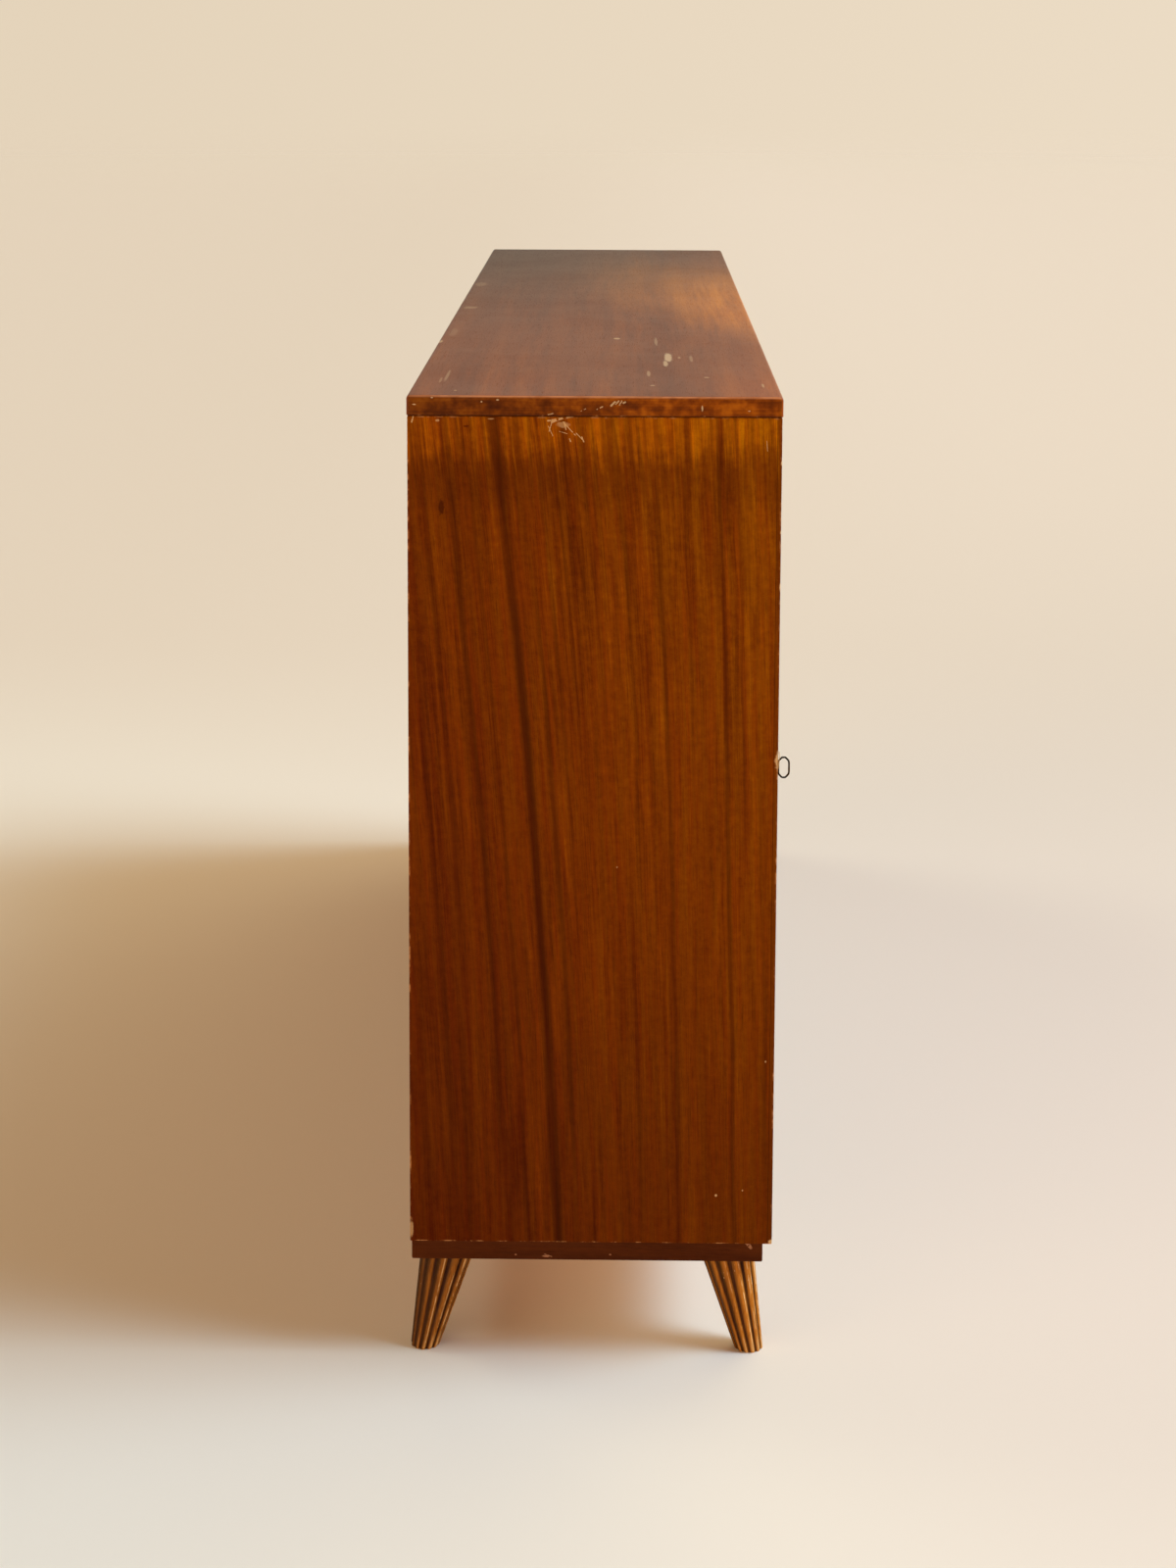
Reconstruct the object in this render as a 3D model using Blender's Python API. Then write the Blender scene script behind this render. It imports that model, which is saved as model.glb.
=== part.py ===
"""A long sideboard on splayed fluted legs, with two bays behind two pairs of flush doors.

Units are metres. +X runs along the length, -Y is the front and +Z is up. The origin is on
the floor, under the middle of the whole object with its keys. Sizes that are the same on
both halves are given as distances from the middle, and `side` (-1 left, +1 right) places them.
"""

import math

import bmesh
import bpy
from mathutils import Matrix, Vector

# Case
CASE_LENGTH = 2.000
CASE_DEPTH = 0.400
OVERALL_HEIGHT = 1.076
TOP_THICKNESS = 0.022
TOP_OVERHANG = 0.001
TOP_CORNER_RADIUS = 0.005
TOP_ARRIS_RADIUS = 0.0042
PANEL_THICKNESS = 0.020
PANEL_ARRIS = 0.0012
BOARD_ARRIS = 0.0006
RAIL_ARRIS = 0.0015
BACK_THICKNESS = 0.006
BACK_REBATE = 0.008
BACK_REBATE_WIDTH = 0.010
SHELF_THICKNESS = 0.018
SHELF_BOTTOM = 0.592
SHELF_SETBACK = 0.010
SHELF_GROOVE = 0.006
STOP_SIZE = 0.018
STOP_OUTER_REACH = 0.060
STOP_INNER_REACH = 0.008

# Plinth and legs
LEG_HEIGHT = 0.106
LEG_TOP_RADIUS = 0.031
LEG_FOOT_RADIUS = 0.016
LEG_SPLAY = 0.025
LEG_INSET = 0.0385
LEG_COLLAR = 0.002
COLLAR_STEP = 0.0004
LEG_FOOT_BEVEL = 0.0015
FLUTES = 12
FLUTE_DEPTH_SHARE = 0.10
FLUTE_LAND_SHARE = 0.5
FLUTE_TURN = {"front": math.radians(2), "back": math.radians(8)}
TENON_RADIUS = 0.010
TENON_LENGTH = 0.020
PLINTH_HEIGHT = 0.026
PLINTH_THICKNESS = 0.018
PLINTH_END_INSET = 0.012
PLINTH_FRONT_INSET = 0.0095
PLINTH_BACK_INSET = 0.001
BLOCK_SIZE = 0.044

# Doors and their pivot hinges
DOOR_THICKNESS = 0.020
DOOR_GAP = 0.002
DOOR_HINGE_RADIUS = 0.0025
PIVOT_FROM_EDGE = 0.012
PIVOT_FROM_FRONT = 0.0075
LEAF_HALF_WIDTH = 0.0045
LEAF_LENGTH = 0.036
LEAF_THICKNESS = 0.0025
LEAF_ROOM = 0.001
HINGE_PIN_RADIUS = 0.0020
HINGE_HOLE_RADIUS = 0.0022

# Locks and keys
KEY_REACH = 0.042
KEY_HEIGHT = 0.546
KEY_FROM_EDGE = 0.025
BOW_LENGTH = 0.0156
BOW_WIDTH = 0.028
BOW_WIRE_RADIUS = 0.00115
SHANK_RADIUS = 0.0025
SHANK_INTO_LOCK = 0.0085
COLLAR_RADIUS = 0.0036
COLLAR_LENGTH = 0.0022
BORE_RADIUS = 0.0015
BORE_DEPTH = 0.008
LOCK_PIN_RADIUS = 0.0011
BIT_RADIUS = 0.011
BIT_THICKNESS = 0.002
BIT_SPAN = (0.0025, 0.0075)
LOCK_DEPTH = 0.011
LOCK_WALL = 0.0015
LOCK_REACH = (0.020, 0.024)
LOCK_BELOW_KEY = 0.014
LOCK_ABOVE_KEY = 0.020
BOLT_TRAVEL = 0.010
BOLT_SPAN = (0.0018, 0.0093)
BOLT_BOTTOM = 0.004
BOLT_TAIL_BOTTOM = 0.0102
BOLT_TOP = 0.018
BOLT_HEAD_START = 0.012
BOLT_TIP_SETBACK = 0.0002
BOLT_TAIL = 0.018
BOLT_NOTCH = (0.0055, 0.0025)
BOLT_ROOM = 0.0004
STRIKE_LENGTH = 0.012
STRIKE_HALF_INSIDE = 0.0075
STRIKE_RISE = 0.0098
STRIKE_HALF_FOOT = 0.017
PLATE_THICKNESS = 0.0015
KEYHOLE_RADIUS = 0.0032
KEYHOLE_SLOT_HALF = 0.0018
KEYHOLE_SLOT_DEPTH = 0.012
ESCUTCHEON_HALF = (0.010, 0.017)
ESCUTCHEON_DROP = 0.004
ESCUTCHEON_THICKNESS = 0.001

# Slide bolts of the inner doors
SLIDE_FROM_EDGE = 0.028
SLIDE_BAR = (0.008, 0.006)
SLIDE_BAR_LENGTH = 0.075
SLIDE_TRAVEL = 0.010
SLIDE_TIP_SETBACK = 0.0005
SLIDE_GUIDE = (0.012, 0.048)
SLIDE_GUIDE_HALF_FOOT = 0.012
SLIDE_MORTISE_DEPTH = 0.012
SLIDE_MORTISE_ROOM = 0.0008
KNOB_NECK_RADIUS = 0.0025
KNOB_RADIUS = 0.0048
KNOB_FROM_END = 0.042
KNOB_STEPS = (-0.002, 0.0030, 0.0034, 0.0058, 0.0066)

# Clearance between pieces that touch, and how far a cutter runs past what it cuts
FIT = 0.0003
CUT_PAST = 0.010

HALF_LENGTH = CASE_LENGTH / 2
FRONT = (KEY_REACH - TOP_OVERHANG - CASE_DEPTH) / 2
BACK = FRONT + CASE_DEPTH
CASE_BOTTOM = LEG_HEIGHT + PLINTH_HEIGHT
CASE_TOP = OVERALL_HEIGHT - TOP_THICKNESS
FLOOR_TOP = CASE_BOTTOM + PANEL_THICKNESS
INNER_BACK = BACK - BACK_REBATE
BAY_OUTER = HALF_LENGTH - PANEL_THICKNESS
BAY_INNER = PANEL_THICKNESS / 2
MEETING = (BAY_OUTER + BAY_INNER) / 2
DOOR_BACK = FRONT + DOOR_THICKNESS
DOOR_LOW = FLOOR_TOP + DOOR_GAP
DOOR_HIGH = CASE_TOP - DOOR_GAP
PIVOT_Y = FRONT + PIVOT_FROM_FRONT
OUTER_DOOR = (MEETING + DOOR_GAP / 2, BAY_OUTER - DOOR_GAP)
INNER_DOOR = (BAY_INNER + DOOR_GAP, MEETING - DOOR_GAP / 2)
KEY_FROM_MIDDLE = OUTER_DOOR[0] + KEY_FROM_EDGE
SLIDE_FROM_MIDDLE = INNER_DOOR[1] - SLIDE_FROM_EDGE
SIDES = (("left", -1), ("right", 1))

# Finishes: colour, roughness, metallic
MAHOGANY = ((0.26, 0.075, 0.022), 0.30, 0.0)
DARK_MAHOGANY = ((0.085, 0.022, 0.010), 0.40, 0.0)
LEG_WOOD = ((0.33, 0.135, 0.040), 0.38, 0.0)
PLAIN_WOOD = ((0.42, 0.24, 0.12), 0.60, 0.0)
BRASS = ((0.55, 0.38, 0.16), 0.35, 1.0)
AGED_BRASS = ((0.20, 0.145, 0.075), 0.45, 1.0)


def clear_scene():
    for old in list(bpy.data.objects):
        bpy.data.objects.remove(old, do_unlink=True)


def own_material(name, finish):
    colour, roughness, metallic = finish
    material = bpy.data.materials.new(name + "_finish")
    material.use_nodes = True
    shader = material.node_tree.nodes["Principled BSDF"]
    shader.inputs["Base Color"].default_value = (*colour, 1.0)
    shader.inputs["Roughness"].default_value = roughness
    shader.inputs["Metallic"].default_value = metallic
    return material


def joint_axis(name, place):
    """An empty on a joint's axis, which the pieces that turn about it have as their parent."""
    empty = bpy.data.objects.new(name, None)
    empty.location = place
    empty.empty_display_size = 0.03
    bpy.context.collection.objects.link(empty)
    return empty


def link_mesh(name, bm, origin):
    bmesh.ops.recalc_face_normals(bm, faces=bm.faces[:])
    bmesh.ops.translate(bm, verts=bm.verts[:], vec=-Vector(origin))
    mesh = bpy.data.meshes.new(name)
    bm.to_mesh(mesh)
    bm.free()
    obj = bpy.data.objects.new(name, mesh)
    obj.location = origin
    bpy.context.collection.objects.link(obj)
    return obj


def piece(name, bm, finish, origin=(0, 0, 0), parent=None, smooth=False):
    """Makes one sub-part from a mesh in world coordinates."""
    obj = link_mesh(name, bm, origin)
    obj.data.materials.append(own_material(name, finish))
    if parent:
        obj.parent = parent
        obj.location = Vector(origin) - parent.location
    if smooth:
        obj.data.shade_smooth()
        obj.data.set_sharp_from_angle(angle=math.radians(35))
    return obj


def helper(name, bm):
    """A shape that only cuts from another, or joins it, and isn't a sub-part itself."""
    obj = link_mesh(name, bm, (0, 0, 0))
    obj.hide_render = True
    obj.display_type = "WIRE"
    return obj


def boolean(obj, tool, operation="DIFFERENCE"):
    modifier = obj.modifiers.new(operation.lower() + "_" + tool.name, "BOOLEAN")
    modifier.operation = operation
    modifier.solver = "EXACT"
    modifier.object = tool


def add_box(bm, low, high):
    low, high = (Vector(map(pick, low, high)) for pick in (min, max))
    place = Matrix.Translation((low + high) / 2) @ Matrix.Diagonal((*(high - low), 1))
    bmesh.ops.create_cube(bm, size=1, matrix=place)


def add_loft(bm, rings, closed=False):
    """Joins rings of equally many points, with end faces unless the last meets the first."""
    loops = [[bm.verts.new(point) for point in ring] for ring in rings]
    pairs = list(zip(loops, loops[1:]))
    if closed:
        pairs.append((loops[-1], loops[0]))
    else:
        bm.faces.new(loops[0][::-1])
        bm.faces.new(loops[-1])
    for lower, upper in pairs:
        for i, corner in enumerate(lower):
            after = (i + 1) % len(lower)
            bm.faces.new((corner, lower[after], upper[after], upper[i]))


def add_prism(bm, outline, axis, start, end):
    """Extrudes an outline along X, Y or Z. Its points are the other two axes, in that order."""
    place = {
        "X": lambda a, b, along: (along, a, b),
        "Y": lambda a, b, along: (a, along, b),
        "Z": lambda a, b, along: (a, b, along),
    }[axis]
    add_loft(bm, [[place(a, b, along) for a, b in outline] for along in (start, end)])


def circle(centre, radius, sides, start=0.0, turn=math.tau):
    """Points round an arc. A part turn has its last point too."""
    count = sides if turn == math.tau else sides + 1
    angles = [start + turn * i / sides for i in range(count)]
    return [(centre[0] + radius * math.cos(a), centre[1] + radius * math.sin(a)) for a in angles]


def ease_edges(bm, width, segments=1):
    """Bevels every edge that is sharper than 50 degrees."""
    sharp = [edge for edge in bm.edges if edge.calc_face_angle(0.0) > math.radians(50)]
    bmesh.ops.bevel(
        bm, geom=sharp, offset=width, segments=segments, affect="EDGES", profile=0.5
    )


def board(name, low, high, finish, arris=BOARD_ARRIS, segments=1, **placing):
    bm = bmesh.new()
    add_box(bm, low, high)
    ease_edges(bm, arris, segments)
    return piece(name, bm, finish, **placing)


def strap_outline(pivot, along, margin=0.0):
    """A hinge leaf in plan: round at the pivot, square at its far end. along is +1 or -1."""
    half = LEAF_HALF_WIDTH + margin
    x, y = pivot
    far = x + along * (LEAF_LENGTH + margin)
    turn = along * math.pi
    return [(far, y + half), *circle(pivot, half, 8, math.pi / 2, turn), (far, y - half)]


def channel_outline(half_inside, rise, wall, half_foot):
    """The section of a channel with two flat feet, as (across, up from the feet)."""
    outer = half_inside + wall
    right = [(half_foot, 0), (half_foot, wall), (outer, wall), (outer, rise + wall)]
    inner = [(half_inside, rise), (half_inside, 0)]
    left = [(-a, b) for a, b in reversed(right)]
    return right + left + [(-a, b) for a, b in reversed(inner)] + inner


def make_top():
    bm = bmesh.new()
    reach = HALF_LENGTH + TOP_OVERHANG
    add_box(
        bm,
        (-reach, FRONT - TOP_OVERHANG, CASE_TOP),
        (reach, BACK + TOP_OVERHANG, OVERALL_HEIGHT),
    )
    upright = [e for e in bm.edges if abs(e.verts[0].co.z - e.verts[1].co.z) > TOP_THICKNESS / 2]
    bmesh.ops.bevel(bm, geom=upright, offset=TOP_CORNER_RADIUS, segments=3, affect="EDGES", profile=0.5)
    high = OVERALL_HEIGHT - TOP_THICKNESS / 4
    upper = [e for e in bm.edges if min(v.co.z for v in e.verts) > high]
    bmesh.ops.bevel(bm, geom=upper, offset=TOP_ARRIS_RADIUS, segments=4, affect="EDGES", profile=0.5)
    ease_edges(bm, BOARD_ARRIS)
    return piece("top_panel", bm, MAHOGANY)


def make_side_panel(label, side):
    """An end of the case, with a rebate for the back and a groove for the shelf."""
    bm = bmesh.new()
    add_box(
        bm,
        (side * BAY_OUTER, FRONT, CASE_BOTTOM),
        (side * HALF_LENGTH, BACK, CASE_TOP - FIT),
    )
    ease_edges(bm, PANEL_ARRIS, 2)
    panel = piece("side_panel_" + label, bm, MAHOGANY)
    bm = bmesh.new()
    add_box(
        bm,
        (side * (BAY_OUTER - CUT_PAST), INNER_BACK, CASE_BOTTOM - CUT_PAST),
        (side * (BAY_OUTER + BACK_REBATE_WIDTH), BACK + CUT_PAST, CASE_TOP + CUT_PAST),
    )
    boolean(panel, helper("cut_back_rebate_" + label, bm))
    boolean(panel, shelf_groove("cut_side_groove_" + label, side * BAY_OUTER))


def shelf_groove(name, wall_x):
    """A stopped groove on both sides of a wall's face, as deep as the shelf goes in."""
    bm = bmesh.new()
    add_box(
        bm,
        (wall_x - SHELF_GROOVE, DOOR_BACK + SHELF_SETBACK - FIT, SHELF_BOTTOM - FIT),
        (wall_x + SHELF_GROOVE, BACK + CUT_PAST, SHELF_BOTTOM + SHELF_THICKNESS + FIT),
    )
    return helper(name, bm)


def make_case():
    inside = BAY_OUTER - FIT
    bottom = board(
        "bottom_panel", (-inside, FRONT, CASE_BOTTOM), (inside, INNER_BACK - FIT, FLOOR_TOP), MAHOGANY
    )
    partition = board(
        "centre_partition",
        (-BAY_INNER, FRONT, FLOOR_TOP + FIT),
        (BAY_INNER, INNER_BACK - FIT, CASE_TOP - FIT),
        MAHOGANY,
    )
    board(
        "back_panel",
        (FIT - BAY_OUTER - BACK_REBATE_WIDTH, INNER_BACK, CASE_BOTTOM + FIT),
        (BAY_OUTER + BACK_REBATE_WIDTH - FIT, INNER_BACK + BACK_THICKNESS, CASE_TOP - FIT),
        PLAIN_WOOD,
    )
    for label, side in SIDES:
        make_side_panel(label, side)
        groove = shelf_groove("cut_partition_groove_" + label, side * BAY_INNER)
        boolean(partition, groove)
        board(
            "shelf_" + label,
            (side * (BAY_INNER - SHELF_GROOVE + FIT), DOOR_BACK + SHELF_SETBACK, SHELF_BOTTOM),
            (
                side * (BAY_OUTER + SHELF_GROOVE - FIT),
                INNER_BACK - FIT,
                SHELF_BOTTOM + SHELF_THICKNESS,
            ),
            MAHOGANY,
        )
        board(
            "door_stop_" + label,
            (side * (MEETING + STOP_OUTER_REACH), DOOR_BACK + 2 * FIT, CASE_TOP - STOP_SIZE),
            (side * (MEETING - STOP_INNER_REACH), DOOR_BACK + STOP_SIZE, CASE_TOP - FIT),
            DARK_MAHOGANY,
            arris=RAIL_ARRIS,
        )
    return make_top(), bottom


def make_plinth():
    """Four rails round the legs, set in from the case."""
    outer = HALF_LENGTH - PLINTH_END_INSET
    inner = outer - PLINTH_THICKNESS
    front = FRONT + PLINTH_FRONT_INSET
    back = BACK - PLINTH_BACK_INSET
    low, high = LEG_HEIGHT, CASE_BOTTOM - FIT
    for label, side in SIDES:
        board(
            "plinth_" + label,
            (side * inner, front, low),
            (side * outer, back, high),
            DARK_MAHOGANY,
            arris=RAIL_ARRIS,
            segments=2,
        )
    reach = inner - FIT
    rails = (("front", front, front + PLINTH_THICKNESS), ("back", back - PLINTH_THICKNESS, back))
    for label, near, far in rails:
        board("plinth_" + label, (-reach, near, low), (reach, far, high), DARK_MAHOGANY, RAIL_ARRIS)


def leg_ring(centre, z, radius, turn, fluted):
    """A level section of a leg: round lands as wide as the hollows between them."""
    pitch = math.tau / FLUTES
    points = []
    for flute in range(FLUTES):
        land_middle = pitch * (flute + 0.5) + turn
        points.append((land_middle, radius))
        for step in range(5):
            share = step / 4
            depth = radius * FLUTE_DEPTH_SHARE * math.sin(math.pi * share) if fluted else 0.0
            across = FLUTE_LAND_SHARE / 2 + (1 - FLUTE_LAND_SHARE) * share
            points.append((land_middle + pitch * across, radius - depth))
    return [
        (centre[0] + reach * math.cos(angle), centre[1] + reach * math.sin(angle), z)
        for angle, reach in points
    ]


def make_leg(end, side, depth_label, out):
    """One leg, leaning outwards both ways. out is -1 at the front and +1 at the back."""
    label = depth_label + "_" + end
    face = BACK - PLINTH_BACK_INSET if out > 0 else FRONT + PLINTH_FRONT_INSET
    top = (side * (HALF_LENGTH - PLINTH_END_INSET - LEG_INSET), face - out * LEG_INSET)
    foot = (top[0] + side * LEG_SPLAY, top[1] + out * LEG_SPLAY)
    height = LEG_HEIGHT - FIT
    turn = -side * FLUTE_TURN[depth_label]

    def ring(z, fluted, shrink=0.0):
        share = z / height
        centre = [foot[i] + (top[i] - foot[i]) * share for i in (0, 1)]
        radius = LEG_FOOT_RADIUS + (LEG_TOP_RADIUS - LEG_FOOT_RADIUS) * share
        return leg_ring(centre, z, radius - shrink, turn, fluted)

    rings = [
        ring(0.0, True, LEG_FOOT_BEVEL),
        ring(LEG_FOOT_BEVEL, True),
        ring(height - LEG_COLLAR - COLLAR_STEP, True),
        ring(height - LEG_COLLAR, False),
        ring(height, False),
        leg_ring(top, height, TENON_RADIUS, turn, False),
        leg_ring(top, height + TENON_LENGTH, TENON_RADIUS, turn, False),
    ]
    bm = bmesh.new()
    add_loft(bm, rings)
    piece("leg_" + label, bm, LEG_WOOD, smooth=True)

    corner = (
        side * (HALF_LENGTH - PLINTH_END_INSET - PLINTH_THICKNESS - FIT),
        face - out * (PLINTH_THICKNESS + FIT),
    )
    block = board(
        "leg_block_" + label,
        (*corner, LEG_HEIGHT),
        (corner[0] - side * BLOCK_SIZE, corner[1] - out * BLOCK_SIZE, CASE_BOTTOM - FIT),
        PLAIN_WOOD,
        RAIL_ARRIS,
    )
    bm = bmesh.new()
    hole = circle(top, TENON_RADIUS + FIT, 24)
    add_prism(bm, hole, "Z", LEG_HEIGHT - CUT_PAST, CASE_BOTTOM + CUT_PAST)
    boolean(block, helper("cut_tenon_hole_" + label, bm))


def make_door(name, side, span, along, parent):
    """A flush door. along is the way from its hinge edge to its free edge, away from the middle."""
    low, high = sorted(side * x for x in span)
    hinge_x = side * (span[0] if along > 0 else span[1])
    free_x = low + high - hinge_x
    inwards = 1 if free_x > hinge_x else -1
    radius = DOOR_HINGE_RADIUS
    corner = circle(
        (hinge_x + inwards * radius, FRONT + radius), radius, 3, -math.pi / 2, -inwards * math.pi / 2
    )
    outline = [(free_x, FRONT), *corner, (hinge_x, DOOR_BACK), (free_x, DOOR_BACK)]
    bm = bmesh.new()
    add_prism(bm, outline, "Z", DOOR_LOW, DOOR_HIGH)
    bmesh.ops.recalc_face_normals(bm, faces=bm.faces[:])
    ease_edges(bm, BOARD_ARRIS)
    return piece(name, bm, MAHOGANY, origin=parent.location, parent=parent)


def make_hinge(name, pivot, along, door, panel, parent, upward):
    """Two brass leaves let into a door's edge and the panel beside it, with a pin in the panel's."""
    panel_z = CASE_TOP if upward > 0 else FLOOR_TOP
    door_z = DOOR_HIGH if upward > 0 else DOOR_LOW
    leaf = strap_outline(pivot, along)

    bm = bmesh.new()
    add_prism(bm, leaf, "Z", door_z, door_z - upward * LEAF_THICKNESS)
    door_leaf = piece("hinge_leaf_" + name, bm, BRASS, origin=parent.location, parent=parent)
    bm = bmesh.new()
    add_prism(bm, circle(pivot, HINGE_HOLE_RADIUS, 16), "Z", door_z - CUT_PAST, door_z + CUT_PAST)
    boolean(door_leaf, helper("cut_pin_hole_" + name, bm))

    bm = bmesh.new()
    add_prism(bm, leaf, "Z", panel_z, panel_z + upward * LEAF_THICKNESS)
    pin_leaf = piece("hinge_pin_leaf_" + name, bm, BRASS)
    bm = bmesh.new()
    pin_end = door_z - upward * (LEAF_THICKNESS - FIT)
    pin_root = panel_z + upward * LEAF_THICKNESS / 2
    add_prism(bm, circle(pivot, HINGE_PIN_RADIUS, 16), "Z", pin_root, pin_end)
    boolean(pin_leaf, helper("join_pin_" + name, bm), "UNION")

    mortise = strap_outline(pivot, along, FIT)
    bm = bmesh.new()
    floor = LEAF_THICKNESS + FIT
    add_prism(bm, mortise, "Z", door_z + upward * LEAF_ROOM, door_z - upward * floor)
    boolean(door, helper("cut_door_mortise_" + name, bm))
    bm = bmesh.new()
    add_prism(bm, mortise, "Z", panel_z - upward * LEAF_ROOM, panel_z + upward * floor)
    boolean(panel, helper("cut_panel_mortise_" + name, bm))


def hang_door(name, side, span, along, top, bottom):
    """One door on its two pivot hinges. It gives back the door and the empty on its axis."""
    hinge_edge = span[0] if along > 0 else span[1]
    pivot = (side * (hinge_edge + along * PIVOT_FROM_EDGE), PIVOT_Y)
    axis = joint_axis("axis_door_" + name, (*pivot, (DOOR_LOW + DOOR_HIGH) / 2))
    door = make_door("door_" + name, side, span, along, axis)
    for label, panel, upward in (("top", top, 1), ("bottom", bottom, -1)):
        make_hinge(name + "_" + label, pivot, side * along, door, panel, axis, upward)
    return door, axis


def keyhole_outline(x):
    """A round hole with a slot below it."""
    reach = math.asin(KEYHOLE_SLOT_HALF / KEYHOLE_RADIUS)
    start = reach - math.pi / 2
    arc = circle((x, KEY_HEIGHT), KEYHOLE_RADIUS, 14, start, math.tau - 2 * reach)
    foot = KEY_HEIGHT - KEYHOLE_SLOT_DEPTH
    return [*arc, (x - KEYHOLE_SLOT_HALF, foot), (x + KEYHOLE_SLOT_HALF, foot)]


def make_key(label, x, parent):
    """A key with an oval bow, a bored shank and a bit that points down at rest."""
    tip = FRONT - KEY_REACH
    bow_root = tip + BOW_LENGTH

    def ring(y, radius):
        return [(a, y, b) for a, b in circle((x, KEY_HEIGHT), radius, 12)]

    end = DOOR_BACK + SHANK_INTO_LOCK
    bm = bmesh.new()
    collar_end = bow_root + COLLAR_LENGTH
    taper = COLLAR_RADIUS - SHANK_RADIUS
    rings = [
        ring(bow_root - BOW_WIRE_RADIUS, BOW_WIRE_RADIUS * 1.4),
        ring(bow_root, COLLAR_RADIUS),
        ring(collar_end, COLLAR_RADIUS),
        ring(collar_end + taper, SHANK_RADIUS),
        ring(end, SHANK_RADIUS),
        ring(end, BORE_RADIUS),
        ring(end - BORE_DEPTH, BORE_RADIUS),
    ]
    add_loft(bm, rings)
    key = piece(
        "key_" + label, bm, AGED_BRASS, (x, FRONT, KEY_HEIGHT), parent, smooth=True
    )

    bm = bmesh.new()
    round_end = BOW_LENGTH / 2 - BOW_WIRE_RADIUS
    straight = BOW_WIDTH / 2 - BOW_WIRE_RADIUS - round_end
    middle = tip + BOW_LENGTH / 2
    path = circle((middle, KEY_HEIGHT + straight), round_end, 6, 0.0, math.pi)
    path += circle((middle, KEY_HEIGHT - straight), round_end, 6, math.pi, math.pi)
    add_loft(bm, [wire_ring(x, path, i) for i in range(len(path))], closed=True)
    boolean(key, helper("join_bow_" + label, bm), "UNION")

    bm = bmesh.new()
    add_box(
        bm,
        (x - BIT_THICKNESS / 2, DOOR_BACK + BIT_SPAN[0], KEY_HEIGHT - BIT_RADIUS),
        (x + BIT_THICKNESS / 2, DOOR_BACK + BIT_SPAN[1], KEY_HEIGHT - BORE_RADIUS - FIT),
    )
    boolean(key, helper("join_bit_" + label, bm), "UNION")


def wire_ring(x, path, i):
    """A round section of the bow's wire, square to its closed path in the YZ plane."""
    before, here, after = (Vector(path[j % len(path)]) for j in (i - 1, i, i + 1))
    run = (after - before).normalized()
    across = Vector((run.y, -run.x))
    return [
        (x + a, here.x + b * across.x, here.y + b * across.y)
        for a, b in circle((0, 0), BOW_WIRE_RADIUS, 6)
    ]


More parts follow.
